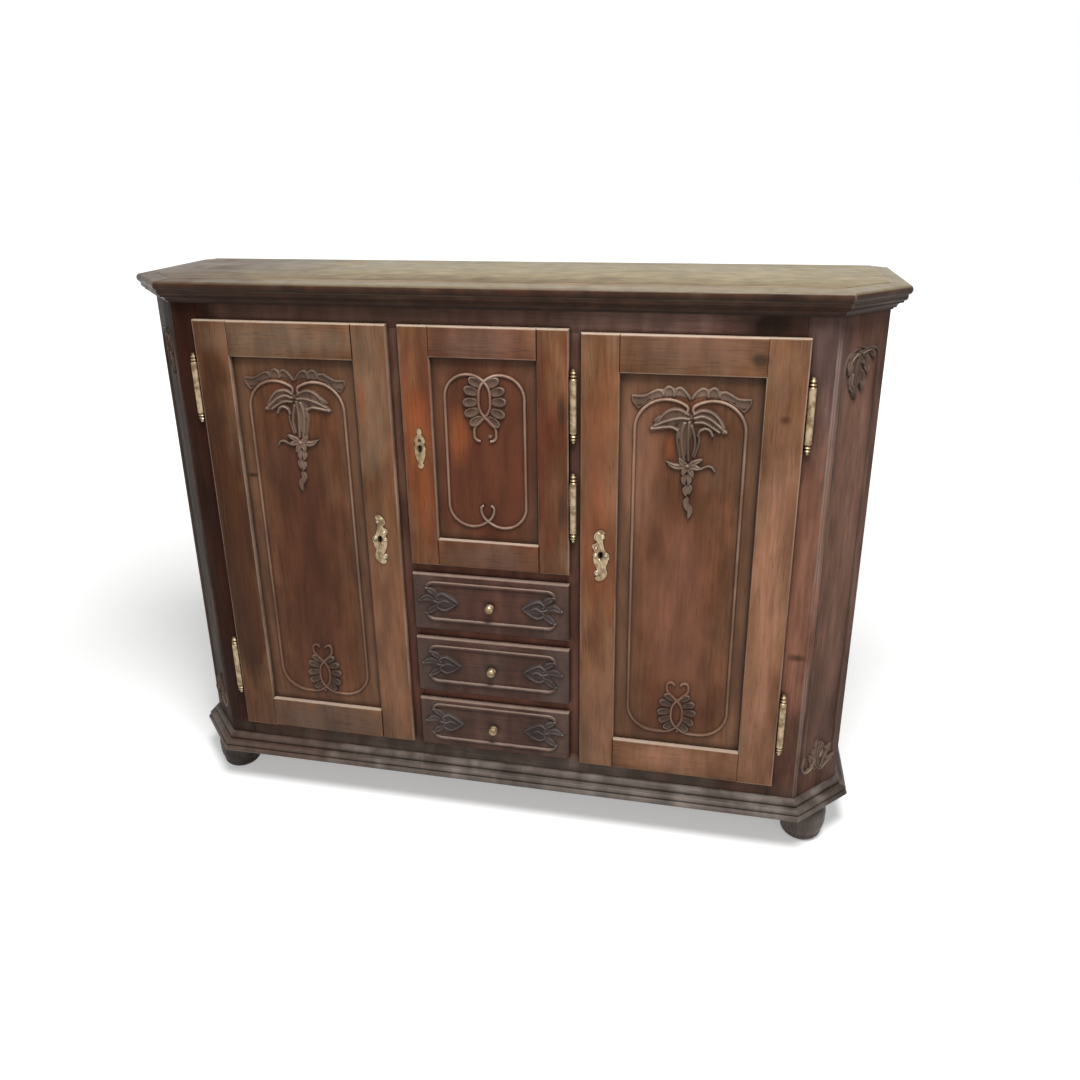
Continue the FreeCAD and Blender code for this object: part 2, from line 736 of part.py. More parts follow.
def moving_leaf(door, place_name, use):
    middle = door.hinge_heights[place_name]
    return box(f"{door.label}_{place_name}_door_leaf_{use}",
               door.x(f"{door.hinge_x} - leaf_depth", f"{door.hinge_x} + hinge_radius + hinge_gap"),
               ("hinge_y - leaf_thickness / 2", "hinge_y + leaf_thickness / 2"),
               (f"{middle} + (barrel_length - leaf_height) / 2",
                f"{middle} + (barrel_length + leaf_height) / 2"))


def barrel_profile(sign):
    """Half a hinge barrel and its ringed finial, from the joint outwards."""
    def up(text):
        return f"{sign} * ({text})"
    corners = [
        ("0", up("hinge_split / 2")), ("hinge_radius", up("hinge_split / 2")),
        ("hinge_radius", up("barrel_length")),
        ("hinge_radius * 0.62", up("barrel_length + finial_length * 0.14")),
        ("hinge_radius", up("barrel_length + finial_length * 0.3")),
        ("hinge_radius * 0.55", up("barrel_length + finial_length * 0.46")),
        ("hinge_radius * 0.9", up("barrel_length + finial_length * 0.64")),
        ("hinge_radius * 0.45", up("barrel_length + finial_length * 0.8")),
        ("hinge_radius * 0.45", up("barrel_length + finial_length")),
        ("0", up("barrel_length + finial_length")),
    ]
    return corners if sign > 0 else corners[::-1]


def build_hinges():
    """Each hinge is a fixed barrel with its pin, and a barrel on the door that turns on that pin."""
    fixed = []
    for door in DOORS.values():
        moving = []
        for place_name, middle in door.hinge_heights.items():
            name = f"{door.label}_{place_name}"
            upper = turning(f"{name}_door_barrel", barrel_profile(1))
            lower = turning(f"{name}_fixed_barrel", barrel_profile(-1))
            pin = doc.addObject("Part::Cylinder", f"{name}_pin")
            bind(pin, Radius="pin_radius", Height="pin_length + barrel_length / 2")
            bore = doc.addObject("Part::Cylinder", f"{name}_bore")
            bind(bore, Radius="pin_radius + pin_clearance", Height="bore_depth")
            for piece, low in ((upper, "0"), (lower, "0"), (pin, "-barrel_length / 2"), (bore, "0")):
                place(piece, door.axis_x, "hinge_y", f"{middle} + ({low})")
            leafed = fuse(f"{name}_door_half", [upper, moving_leaf(door, place_name, "plate")])
            moving.append(cut(f"{name}_door_half_bored", leafed, [bore]))
            fixed.append(fuse(f"{name}_fixed_half", [lower, pin, fixed_leaf(door, place_name, "plate")]))
        node(f"{door.label}_door_hinges", group(f"{door.label}_door_halves", moving))
    node("hinge_pins", group("fixed_halves", fixed))


def bolt_box(door, use, grow="0", throw="0", length="bolt_length"):
    """The block of a lock bolt, or the room for it."""
    edge = f"{door.inner_edge_x} - ({throw})"
    return box(f"{door.label}_bolt_{use}", door.x(edge, f"{door.inner_edge_x} + {length}"),
               (f"bolt_y - bolt_thickness / 2 - {grow}", f"bolt_y + bolt_thickness / 2 + {grow}"),
               (f"{door.key_height} - bolt_height / 2 - {grow}",
                f"{door.key_height} + bolt_height / 2 + {grow}"))


def bolt_mortises(mullion):
    """Rooms in a mullion for the bolts that shoot into it."""
    doors = ("left", "centre") if mullion == "left" else ("right",)
    return [bolt_box(DOORS[label], "mortise", "mortise_clearance", "bolt_throw + mortise_end_room", "0")
            for label in doors]


def lock_case_box(door, use):
    return box(f"{door.label}_lock_{use}", door.x(door.inner_edge_x, f"{door.inner_edge_x} + lock_width"),
               ("lock_front_y", "door_back_y"),
               (f"{door.key_height} - lock_height / 2", f"{door.key_height} + lock_height / 2"))


def keyhole(door, use, front, back):
    """A keyhole: a round hole with a slot below it."""
    round_hole = doc.addObject("Part::Cylinder", f"{door.label}_{use}_round")
    round_hole.Placement = FreeCAD.Placement(Vector(), FreeCAD.Rotation(Vector(1, 0, 0), -90))
    bind(round_hole, Radius="keyhole_radius", Height=f"({back}) - ({front})")
    place(round_hole, door.key_x, front, f"{door.key_height} + keyhole_radius")
    slot = box(f"{door.label}_{use}_slot",
               (f"{door.key_x} - keyhole_radius / 2", f"{door.key_x} + keyhole_radius / 2"), (front, back),
               (f"{door.key_height} - keyhole_drop", f"{door.key_height} + keyhole_radius"))
    return fuse(f"{door.label}_{use}", [round_hole, slot])


# How far the middle of the centre plate's ring stands above its keyhole, in shares of its length
RING_HEIGHT = 0.2

# Half of the upright centre plate from foot to head, in shares of its length: a ball, a shield, a ring
# and a finial
CENTRE_PLATE = [
    (0.07, -0.43, 0.075), (0.05, -0.36, 0.075), (0.13, -0.04, 0.6), (0.135, 0.04, 0.09), (0.1, 0.105, 0.12),
    (0.13, 0.2, 0.13), (0.075, 0.305, 0.13), (0.05, 0.37, -0.09), (0.06, 0.43, 0.07),
]

# The leaning rococo plate of the right door in shares of its length, counter-clockwise from the tip of
# its lower curl; the left door has its mirror image
SIDE_PLATE = [
    (-0.087, -0.48, 0.04), (-0.03, -0.51, 0.09), (0.097, -0.43, 0.17), (0.118, -0.32, 0.16),
    (0.1, -0.21, -0.2), (0.13, -0.1, 0.2), (0.156, -0.02, 0.09), (0.107, 0.06, 0.08),
    (0.055, 0.18, -0.2), (0.042, 0.32, -0.3),
    (0.07, 0.42, -0.13), (0.0, 0.49, 0.07), (-0.118, 0.37, 0.2), (-0.065, 0.26, 0.1), (-0.14, 0.2, -0.1),
    (-0.145, 0.13, 0.05), (-0.12, 0.06, -0.07), (-0.13, -0.06, 0.2), (-0.09, -0.22, 0.32),
    (-0.03, -0.33, 0.3), (-0.04, -0.39, -0.05), (-0.09, -0.43, -0.07),
]


def plate_outline(door):
    """Corners of a keyhole plate about its keyhole."""
    if door.label == "centre":
        head = (0, 0.5, 0.07)
        left = [(-across, up) for across, up, _ in CENTRE_PLATE[::-1]]
        bulges = [head[2]] + [bulge for _, _, bulge in CENTRE_PLATE[:0:-1]]
        shares = [(0, -0.5, CENTRE_PLATE[0][2])] + CENTRE_PLATE + [head]
        shares += [(*corner, bulge) for corner, bulge in zip(left, bulges)]
    elif door.side > 0:
        shares = SIDE_PLATE
    else:
        bulges = [bulge for _, _, bulge in SIDE_PLATE[:1] + SIDE_PLATE[:0:-1]]
        shares = [(-across, up, bulge) for (across, up, _), bulge in zip(SIDE_PLATE[::-1], bulges)]
    return [tuple(f"{share} * {door.plate_length}" for share in corner) for corner in shares]


def build_keyhole_plate(door):
    body = new_body(f"{door.label}_plate", (1, 0, 0), (0, 0, 1))
    pad = body.newObject("PartDesign::Pad", f"{door.label}_plate_pad")
    pad.Profile = sketch_on(body, f"{door.label}_plate_outline", "XY_Plane", plate_outline(door))
    bind(pad, Length="plate_thickness")
    place(body, door.key_x, "front_face_y", door.key_height)
    depth = (f"front_face_y - plate_thickness - {PAST}", f"front_face_y + {PAST}")
    holes = [keyhole(door, "plate_keyhole", *depth)]
    if door.label == "centre":
        ring = doc.addObject("Part::Cylinder", "centre_plate_ring")
        ring.Placement = FreeCAD.Placement(Vector(), FreeCAD.Rotation(Vector(1, 0, 0), -90))
        bind(ring, Radius="ring_hole_radius", Height=f"({depth[1]}) - ({depth[0]})")
        place(ring, door.key_x, depth[0], f"{door.key_height} + {door.plate_length} * {RING_HEIGHT}")
        holes.append(ring)
    node(f"{door.label}_escutcheon", cut(f"{door.label}_plate_pierced", body, holes))


# The raised strings: each starts half way up a panel and is carved in an upper and a lower stretch
def knot_moves(turn, lobe_turn, kind=""):
    """Two strings cross, part into a loop, cross again and end in the two lobes of a heart."""
    return [("knot_rise", 50 * turn), ("knot_loop", 40 * turn), (f"{kind}knot_flank", 0),
            ("knot_loop", 45 * turn), ("knot_crossing", 0), ("lobe_shoulder", -45 * turn),
            (f"{kind}lobe_rise", 0), (f"{kind}lobe_curl", -lobe_turn * turn)]


def tall_panel_moves(half_height):
    """The string of a side door's panel: scrolled arches at the head, a knot at the foot."""
    head = [(f"{half_height} - string_head - head_bend", 0), ("head_bend", 90), ("scroll_sweep", 34),
            ("scroll_curl", 135)]
    foot = [(f"{half_height} - string_foot - foot_bend", 0), ("foot_bend", -90), ("knot_run", 0)]
    return head, foot + knot_moves(-1, 165)


def centre_panel_moves(half_height):
    """The string of the centre door's panel: a knot at the head, an open heart at the foot."""
    head = [(f"{half_height} - centre_string_head - centre_bend", 0), ("centre_bend", 90)]
    foot = [(f"{half_height} - centre_string_foot - centre_bend", 0), ("centre_bend", -90),
            ("knot_rise", -35), ("heart_run", 0), ("heart_lobe", -55), ("lobe_curl", -80)]
    return head + knot_moves(1, 100, "centre_"), foot


def panel_strings(door, middle_x, low, high):
    """The beads on a door's panel, two stretches to each side of its middle."""
    half_height = f"(({high}) - ({low})) / 2"
    is_centre = door.label == "centre"
    head, foot = (centre_panel_moves if is_centre else tall_panel_moves)(half_height)
    spread = "centre_string_spread" if is_centre else "string_spread"
    beads = []
    for side, relief in ((1, "string_relief"), (-1, "string_relief - string_under")):
        for label, moves, way in (("head", head, 1), ("foot", foot, -1)):
            name = f"{door.label}_panel_{'right' if side > 0 else 'left'}_{label}_string"
            bead = string_bead(name, moves, side, (way, 0, 0), (0, 0, way), relief)
            place(bead, f"{middle_x} + {side} * {spread}", "panel_front_y", f"(({low}) + ({high})) / 2")
            beads.append(bead)
    return beads


def drawer_strings(label, middle):
    """Two long beads on a drawer front whose ends bend towards each other."""
    moves = [("drawer_string_length / 2", 0), ("drawer_string_bend", 80)]
    beads = []
    for level in (1, -1):
        for way in (1, -1):
            name = f"{label}_{'top' if level > 0 else 'foot'}_{'right' if way > 0 else 'left'}_string"
            bead = string_bead(name, moves, -level * way, (0, 0, -way), (way, 0, 0), "string_relief")
            height = f"{middle} + drawer_string_lift + {level} * drawer_string_spacing / 2"
            place(bead, "0", "front_face_y", height)
            beads.append(bead)
    return beads


def build_panel(door, free_inner, hinge_inner):
    """The carved panel, whose edges stand loose in the grooves of the frame, and the room for them."""
    opening_z = (f"{door.low} + {door.rail}", f"{door.high} - {door.rail}")
    depth = ("panel_front_y", "panel_back_y")
    def grown(margin):
        return (door.x(f"{free_inner} - {margin}", f"{hinge_inner} + {margin}"), depth,
                (f"{opening_z[0]} - {margin}", f"{opening_z[1]} + {margin}"))
    board = box(f"{door.label}_panel", *grown("panel_tongue"))
    middle_x = f"{door.side} * ({free_inner} + {hinge_inner}) / 2"
    carved = fuse(f"{door.label}_carved_panel", [board] + panel_strings(door, middle_x, *opening_z))
    node(f"{door.label}_door_panel", carved)
    return box(f"{door.label}_panel_groove", *grown("(panel_tongue + panel_play)"))


def build_door(door):
    """Stiles and rails tenoned together round a loose panel, with a lock let into the free stile."""
    label = door.label
    depth = ("front_face_y", "door_back_y")
    free_inner = f"{door.free_x} + {door.stile}"
    hinge_inner = f"{door.hinge_x} - {door.stile}"
    bottom, top = opening_heights(door)
    around = box(f"{label}_rebate_outside", door.x(f"{door.free_x} - {PAST}", f"{door.hinge_x} + {PAST}"),
                 ("front_y", f"door_back_y + {PAST}"), (f"{door.low} - {PAST}", f"{door.high} + {PAST}"))
    kept = box(f"{label}_rebate_inside", door.x(door.inner_edge_x, f"{door.opening[1]} - front_clearance"),
               (f"front_y - {PAST}", f"door_back_y + 2 * {PAST}"),
               (f"{bottom} + front_clearance", f"{top} - front_clearance"))
    rebate = cut(f"{label}_rebate", around, [kept])
    groove = build_panel(door, free_inner, hinge_inner)
    rails, mortises = [], []
    for place_name, low in (("bottom", door.low), ("top", f"{door.high} - {door.rail}")):
        bar = box(f"{label}_{place_name}_bar", door.x(free_inner, hinge_inner), depth,
                  (low, f"{low} + {door.rail}"))
        tenon = box(f"{label}_{place_name}_tenon",
                    door.x(f"{free_inner} - door_tenon", f"{hinge_inner} + door_tenon"),
                    ("panel_front_y", "panel_back_y"),
                    (f"{low} + tenon_shoulder", f"{low} + {door.rail} - tenon_shoulder"))
        rebated = cut(f"{label}_{place_name}_rebated", bar, [rebate, groove])
        rails.append(fuse(f"{label}_{place_name}_rail", [rebated, tenon]))
        mortises.append(tenon)
    node(f"{label}_door_rails", group(f"{label}_rails", rails))
    leaves = [moving_leaf(door, place_name, "slot") for place_name in ("upper", "lower")]
    hinge_bar = box(f"{label}_hinge_bar", door.x(hinge_inner, door.hinge_x), depth, (door.low, door.high))
    free_bar = box(f"{label}_free_bar", door.x(door.free_x, free_inner), depth, (door.low, door.high))
    key_way = keyhole(door, "stile_keyhole", f"front_face_y - {PAST}", f"lock_front_y + {PAST}")
    lock_recess = lock_case_box(door, "recess")
    stiles = [
        cut(f"{label}_hinge_stile", hinge_bar, [rebate, groove] + mortises + leaves),
        cut(f"{label}_free_stile", free_bar, [rebate, groove, lock_recess, key_way] + mortises),
    ]
    node(f"{label}_door_stiles", group(f"{label}_stiles", stiles))
    channel = bolt_box(door, "channel", "bolt_clearance", PAST, "bolt_length + bolt_clearance")
    node(f"{label}_lock_case", cut(f"{label}_lock_hollow", lock_case_box(door, "block"), [channel]))
    node(f"{label}_lock_bolt", bolt_box(door, "bar"))
    build_keyhole_plate(door)


KNOB_PROFILE = [
    ("0", "-knob_shank_length"), ("knob_shank_radius", "-knob_shank_length"),
    ("knob_shank_radius", "0"), ("knob_radius * 0.8", "0"), ("knob_radius * 0.8", "knob_reach * 0.1"),
    ("knob_radius * 0.4", "knob_reach * 0.3", "-knob_radius * 0.6"),
    ("knob_radius", "knob_reach * 0.65", "knob_radius"),
    ("knob_radius * 0.3", "knob_reach", "knob_radius * 0.9"), ("0", "knob_reach"),
]


def dovetails(label, side, low, high, x):
    """The two tails by which a drawer side is held in the front."""
    tails = []
    for index, share in enumerate((0.25, 0.75), start=1):
        name = f"{label}_{'right' if side > 0 else 'left'}_tail_{index}"
        body = new_body(name, (0, 1, 0), (0, 0, 1))
        pad = body.newObject("PartDesign::Pad", name + "_pad")
        outline = [("0", "-dovetail_root / 2"), ("0", "dovetail_root / 2"),
                   ("-dovetail_length", "dovetail_tip / 2"), ("-dovetail_length", "-dovetail_tip / 2")]
        pad.Profile = sketch_on(body, name + "_outline", "XY_Plane", outline)
        bind(pad, Length="drawer_side_thickness")
        place(body, x, "drawer_back_y", f"({low}) * {1 - share} + ({high}) * {share}")
        tails.append(body)
    return tails


def build_drawer(label):
    """A lipped front with a knob, dovetailed to a grooved box that holds a loose bottom."""
    low, high = f"{label}_drawer_bottom", f"{label}_drawer_top"
    edge = "centre_opening_x - front_clearance"
    floor = f"{low} + front_overlap + drawer_play"
    ceiling = f"{high} - front_overlap - drawer_headroom"
    box_back = "drawer_back_y + drawer_depth"
    middle = f"({low} + {high}) / 2"
    lip = box(f"{label}_lip", ("-centre_x", "centre_x"), ("front_face_y", "front_y"), (low, high))
    core = box(f"{label}_core", (f"-({edge})", edge), ("front_y", "drawer_back_y"), (floor, ceiling))
    board = (f"{floor} + drawer_bottom_raise", f"{floor} + drawer_bottom_raise + drawer_bottom_thickness")
    inside = f"{edge} - drawer_side_thickness"
    bottom = box(f"{label}_bottom_board", (f"-({inside}) - drawer_groove", f"{inside} + drawer_groove"),
                 ("drawer_back_y - drawer_groove", box_back), board)
    shank = doc.addObject("Part::Cylinder", f"{label}_knob_hole")
    shank.Placement = FreeCAD.Placement(Vector(), FreeCAD.Rotation(Vector(1, 0, 0), -90))
    bind(shank, Radius="knob_shank_radius", Height="knob_shank_length")
    place(shank, "0", "front_face_y", middle)
    sides, sockets = [], []
    for side, name in ((1, "right"), (-1, "left")):
        width = span(side, inside, edge)
        blank = box(f"{label}_{name}_side_blank", width, ("drawer_back_y", box_back), (floor, ceiling))
        tails = dovetails(label, side, board[1], ceiling, width[0])
        whole = fuse(f"{label}_{name}_tailed_side", [blank] + tails)
        sides.append(cut(f"{label}_{name}_side", whole, [bottom]))
        sockets += tails
    front = fuse(f"{label}_front_whole", [lip, core] + drawer_strings(label, middle))
    node(f"{label}_drawer_front", cut(f"{label}_front_cut", front, [bottom, shank] + sockets))
    back = box(f"{label}_back", (f"-({inside})", inside), (f"{box_back} - drawer_side_thickness", box_back),
               (board[1], ceiling))
    node(f"{label}_drawer_box", group(f"{label}_box", sides + [back]))
    node(f"{label}_drawer_bottom", bottom)
    knob = turning(f"{label}_knob", KNOB_PROFILE, (1, 0, 0), (0, 0, 1))
    place(knob, "0", "front_face_y", middle)
    node(f"{label}_drawer_knob", knob)


def build_cabinet():
    build_top()
    build_feet()
    build_case()
    build_front_frame()
    build_inside()
    build_hinges()
    for door in DOORS.values():
        build_door(door)
    for label in ("upper", "middle", "lower"):
        build_drawer(label)


def check_and_write():
    """Stops on any failed object, then writes one STEP file for each node."""
    doc.recompute()
    failed = [piece.Name for piece in doc.Objects if {"Invalid", "Error"} & set(piece.State)]
    if failed:
        raise RuntimeError(f"failed objects: {failed}")
    for name, piece in nodes.items():
        if piece.Shape.isNull() or not piece.Shape.isValid() or not piece.Shape.Solids:
            raise RuntimeError(f"bad shape: {name}")
    os.makedirs("parts", exist_ok=True)
    for name, piece in nodes.items():
        piece.Shape.exportStep(f"parts/{name}.step")


build_cabinet()
check_and_write()
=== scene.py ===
"""Carved side cabinet with canted corners: the finish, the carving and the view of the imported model."""
import json
import math

import bmesh
import bpy
import numpy as np
from mathutils import Matrix, Vector

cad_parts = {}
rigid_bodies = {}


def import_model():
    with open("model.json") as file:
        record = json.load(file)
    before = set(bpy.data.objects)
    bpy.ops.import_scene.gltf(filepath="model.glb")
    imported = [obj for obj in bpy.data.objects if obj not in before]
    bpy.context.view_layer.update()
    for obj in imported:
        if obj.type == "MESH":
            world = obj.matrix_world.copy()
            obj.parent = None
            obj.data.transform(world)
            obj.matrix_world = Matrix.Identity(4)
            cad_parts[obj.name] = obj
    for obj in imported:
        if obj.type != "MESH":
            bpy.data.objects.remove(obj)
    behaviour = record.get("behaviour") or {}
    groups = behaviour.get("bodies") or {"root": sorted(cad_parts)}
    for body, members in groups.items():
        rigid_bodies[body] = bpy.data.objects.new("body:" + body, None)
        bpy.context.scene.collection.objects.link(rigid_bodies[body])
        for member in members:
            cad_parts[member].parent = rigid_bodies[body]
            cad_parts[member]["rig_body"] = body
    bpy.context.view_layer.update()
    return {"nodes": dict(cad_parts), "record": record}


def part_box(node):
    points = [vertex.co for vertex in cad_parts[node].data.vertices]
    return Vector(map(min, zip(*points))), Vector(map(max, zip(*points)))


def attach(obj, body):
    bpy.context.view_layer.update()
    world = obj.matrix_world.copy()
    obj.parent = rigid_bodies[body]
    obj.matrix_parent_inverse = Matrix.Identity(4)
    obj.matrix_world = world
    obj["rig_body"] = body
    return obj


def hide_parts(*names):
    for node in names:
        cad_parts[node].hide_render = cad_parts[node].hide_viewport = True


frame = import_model()
MM = 0.001

# The view: the camera's place in metres, its turn, tilt and roll in degrees, and its picture.
CAMERA_PLACE = (0.3613, -1.4568, 1.1833)
CAMERA_TURN = -11.74
CAMERA_TILT = 19.54
CAMERA_ROLL = -0.76
PICTURE_SIDE = 1080
FOCAL_PIXELS = 884.5
AXIS_PIXEL = (537.2, 466.4)
SENSOR_WIDTH = 36.0

# Floor and light: sizes and places in metres, power in watts.
FLOOR_SIDE = 30.0
FLOOR_COLOUR = (0.86, 0.86, 0.86, 1)
FLOOR_GLOW = 0.35
FLOOR_GLOW_REACH = (1.0, 3.2)
WORLD_COLOUR = (1.0, 0.99, 0.97, 1)
WORLD_STRENGTH = 0.24
WHITE = (1, 1, 1, 1)
LAMPS = (
    ("key_light", (0.45, -1.05, 2.9), (0.1, -0.1, 0.5), 0.9, 88),
    ("fill_light", (1.6, -2.6, 1.4), (0.1, 0, 0.5), 2.0, 12),
)

# Names that pieces share, and the side to which a door's motifs turn.
DOOR_HANDS = {"left": -1, "right": 1, "centre": 1}
DRAWERS = ("upper", "middle", "lower")
FRAME_SIZES = ("Middle", "Outer", "Opening")
UNEASED = ("cornice_moulding", "top_nosing", "plinth_frame", "bun_feet", "hinge_pins")
UNEASED_ENDS = ("_door_panel", "_door_hinges", "_escutcheon", "_knob", "_lock_case", "_lock_bolt")

# How a copied board is eased at its corners.
ARRIS_WIDTH = 1.1 * MM
ARRIS_STEPS = 2
ARRIS_LEAST_EDGE = 14 * MM
SIDE_SLOPE = 0.3
LIP_WIDTH = 4.2 * MM
LIP_STEPS = 4
ON_FACE = 0.05 * MM
FAR = 9.0
ARRIS_LEAST_ANGLE = math.radians(40)
SMOOTH_ANGLE = math.radians(26)
FLAT_ANGLE = math.radians(0.4)
WELD = 1e-6
SEED_STEP = 6.18
SEED_RANGE = 10.0

# Carving strokes and petals, in millimetres.
RELIEF_CELL = 0.8
RELIEF_SUNK = 1.6
RELIEF_FOOT = 0.7
RELIEF_ROOT = 2.4
LINE_STEPS = 9
LEAF_VEIN = 1.1
PETAL_POINTS = 16
PETAL_RINGS = ((1.0, -0.5), (0.94, 0.45), (0.86, 0.92), (0.76, 1.0), (0.6, 0.66), (0.35, 0.42),
               (0.12, 0.36))
PETAL_PINCH = 0.22
PETAL_HEART = 0.50
PETAL_ROOT_RISE = 0.3
PETAL_SWAY = 4.0
PLATE_CELL = 0.5
PLATE_RISE = 2.2
CANT_HEAD_RISE = 776
CANT_FOOT_RISE = 63
SHELL_LOBES = 5
SHELL_PATH = ((1, -1), (8, -0.45), (8, 0.45), (1, 1))
SHELL_SEED = 8
SHELL_LEAN = -90
BEAD_RADIUS = 4.2
BEAD_RISE = 4.0
BEAD_ROOM = 9
# A knot's shells: their reach, a lobe's length, width and rise, and the place of the bead.
CENTRE_SHELLS = (25, (29, 19, 5.0), (8, -58))
TALL_SHELLS = (21, (26, 16, 4.8), (2, -39))

# Carved boards, in metres, and the shares of their strings' wear and painted highlight.
CARVING_RISE = 4.8 * MM
STRING_HEIGHT = 3.4 * MM
PANEL_GROUND = -128 * MM
DRAWER_GROUND = -137 * MM
PANEL_TONGUE = 8 * MM
HEAD_DROP = 74 * MM
KNOT_RISE = 66 * MM
CENTRE_KNOT_DROP = 73 * MM
UPPER_STRING_WEAR_AND_HIGHLIGHT = 0.70
LOWER_STRING_WEAR_AND_HIGHLIGHT = 0.84

# Old wood: the shares of its marks, and the slopes, heights and shades between which they come up.
STREAK_SHARE = 0.45
CLOUD_SHARE = 0.55
BAND_SHARE = 0.28
STAIN_SHARE = 0.48
PORE_SHARE = 0.45
SPOT_STREAK = 0.35
# Upward faces are lightened with dust and a painted highlight, raised tops with wear and a painted
# highlight, and corners darkened with dirt and painted shade.
LEDGE_SLOPE = (0.30, 0.85)
LEDGE_DENTS = 0.6
LEDGE_EVEN = 0.7
LEDGE_LESS_DIRT_AND_SHADE = -0.9
CREST_HEIGHT = (0.55, 0.97)
CREST_SLOPE = (0.0, 0.55)
CREST_WEAR = (0.65, 0.45)
DIRT_AND_SHADE_FADE = 0.42
WORN_DULL = 0.16
STREAK_POLISH = -0.07
PORE_DEPTH = -0.5
DENT_DEPTH = 1.6
SCRATCH_DEPTH = -0.4
WOOD_BUMP = 0.35
WOOD_BUMP_DEPTH = 0.5 * MM

# Old metal, and the samples for the darkening in corners: dirt and painted shade on wood, dark patina on
# metal.
METAL_SHARE = 0.9
METAL_DULL = 0.22
METAL_BUMP = 0.25
METAL_BUMP_DEPTH = 0.2 * MM
METAL_GRIME_REACH = 5 * MM
PROUD_METAL = (0.25, 0.60)
HOLLOW_SAMPLES = 6

# Colours, as linear red, green and blue.
DOOR_DARK = (0.092, 0.038, 0.016, 1)
DOOR_LIGHT = (0.215, 0.100, 0.047, 1)
DOOR_GREY = (0.198, 0.131, 0.084, 1)
DOOR_ORANGE = (0.30, 0.086, 0.027, 1)
DOOR_RED = (0.23, 0.072, 0.031, 1)
DOOR_TAN = (0.31, 0.150, 0.088, 1)
DOOR_OLIVE = (0.21, 0.155, 0.110, 1)
DOOR_SHADE = (0.048, 0.017, 0.007, 1)
RAIL_OLIVE = (0.148, 0.078, 0.054, 1)
RAIL_BROWN = (0.110, 0.065, 0.045, 1)
CENTRE_RED = (0.116, 0.030, 0.0125, 1)
CENTRE_DEEP = (0.094, 0.029, 0.0140, 1)
PANEL_DARK = (0.076, 0.027, 0.012, 1)
PANEL_LIGHT = (0.165, 0.067, 0.031, 1)
PANEL_GREY = (0.155, 0.098, 0.063, 1)
PANEL_WARM = (0.215, 0.088, 0.052, 1)
PANEL_TAN = (0.230, 0.110, 0.064, 1)
PANEL_RED = (0.066, 0.021, 0.011, 1)
STRING_CREST = (0.64, 0.495, 0.390, 1)
LEAF_DARK = (0.076, 0.044, 0.030, 1)
LEAF_LIGHT = (0.150, 0.092, 0.064, 1)
LEAF_GREY = (0.150, 0.112, 0.087, 1)
LEAF_CREST = (0.30, 0.230, 0.172, 1)
CREST_TAN = (0.262, 0.182, 0.132, 1)
SHELL_DARK = (0.040, 0.026, 0.020, 1)
FOOT_DARK = (0.060, 0.036, 0.026, 1)
FOOT_LIGHT = (0.130, 0.084, 0.064, 1)
CARCASS_RED = (0.030, 0.0085, 0.0045, 1)
CARCASS_DARK = (0.044, 0.019, 0.013, 1)
CARCASS_LIGHT = (0.122, 0.058, 0.039, 1)
CARCASS_GREY = (0.120, 0.080, 0.063, 1)
# Painted light of the right cant.
RIGHT_CANT_PAINTED_LIGHT = (0.225, 0.122, 0.086, 1)
STILE_RED = (0.275, 0.124, 0.080, 1)
STILE_MAUVE = (0.106, 0.065, 0.057, 1)
FRIEZE_BROWN = (0.106, 0.060, 0.045, 1)
FRIEZE_PALE = (0.185, 0.110, 0.087, 1)
RAIL_GREY = (0.100, 0.080, 0.066, 1)
# Painted shade of the left cant.
LEFT_CANT_PAINTED_SHADE = (0.016, 0.011, 0.008, 1)
CORNICE_DARK = (0.022, 0.008, 0.004, 1)
CORNICE_LIGHT = (0.055, 0.021, 0.009, 1)
CORNICE_GREY = (0.060, 0.038, 0.026, 1)
# The worn cornice colour also paints a highlight on upward faces.
CORNICE_WEAR_AND_HIGHLIGHT = (0.205, 0.168, 0.108, 1)
DRAWER_DARK = (0.043, 0.020, 0.015, 1)
DRAWER_LIGHT = (0.092, 0.043, 0.029, 1)
DRAWER_GREY = (0.098, 0.072, 0.063, 1)
DRAWER_CREST = (0.270, 0.210, 0.188, 1)
FAN_DARK = (0.032, 0.021, 0.019, 1)
FAN_LIGHT = (0.070, 0.051, 0.046, 1)
FAN_GREY = (0.080, 0.066, 0.063, 1)
FAN_CREST = (0.180, 0.150, 0.142, 1)
DRAWER_RED = (0.105, 0.042, 0.028, 1)
RAIL_RED = (0.150, 0.062, 0.041, 1)
TOP_DARK = (0.140, 0.108, 0.055, 1)
TOP_LIGHT = (0.245, 0.195, 0.108, 1)
TOP_GREY = (0.235, 0.200, 0.128, 1)
TOP_BROWN = (0.072, 0.043, 0.026, 1)
PLINTH_DARK = (0.050, 0.036, 0.029, 1)
PLINTH_LIGHT = (0.125, 0.095, 0.078, 1)
PLINTH_GREY = (0.215, 0.185, 0.162, 1)
INNER_DARK = (0.180, 0.105, 0.055, 1)
INNER_LIGHT = (0.340, 0.220, 0.125, 1)
INNER_GREY = (0.300, 0.235, 0.165, 1)
RUBBED = (0.36, 0.235, 0.155, 1)
# The pale and lip worn colours also paint a highlight on upward faces.
PALE_WEAR_AND_HIGHLIGHT = (0.45, 0.345, 0.262, 1)
RUBBED_DARK = (0.25, 0.185, 0.155, 1)
LIP_WEAR_AND_HIGHLIGHT = (0.27, 0.192, 0.152, 1)
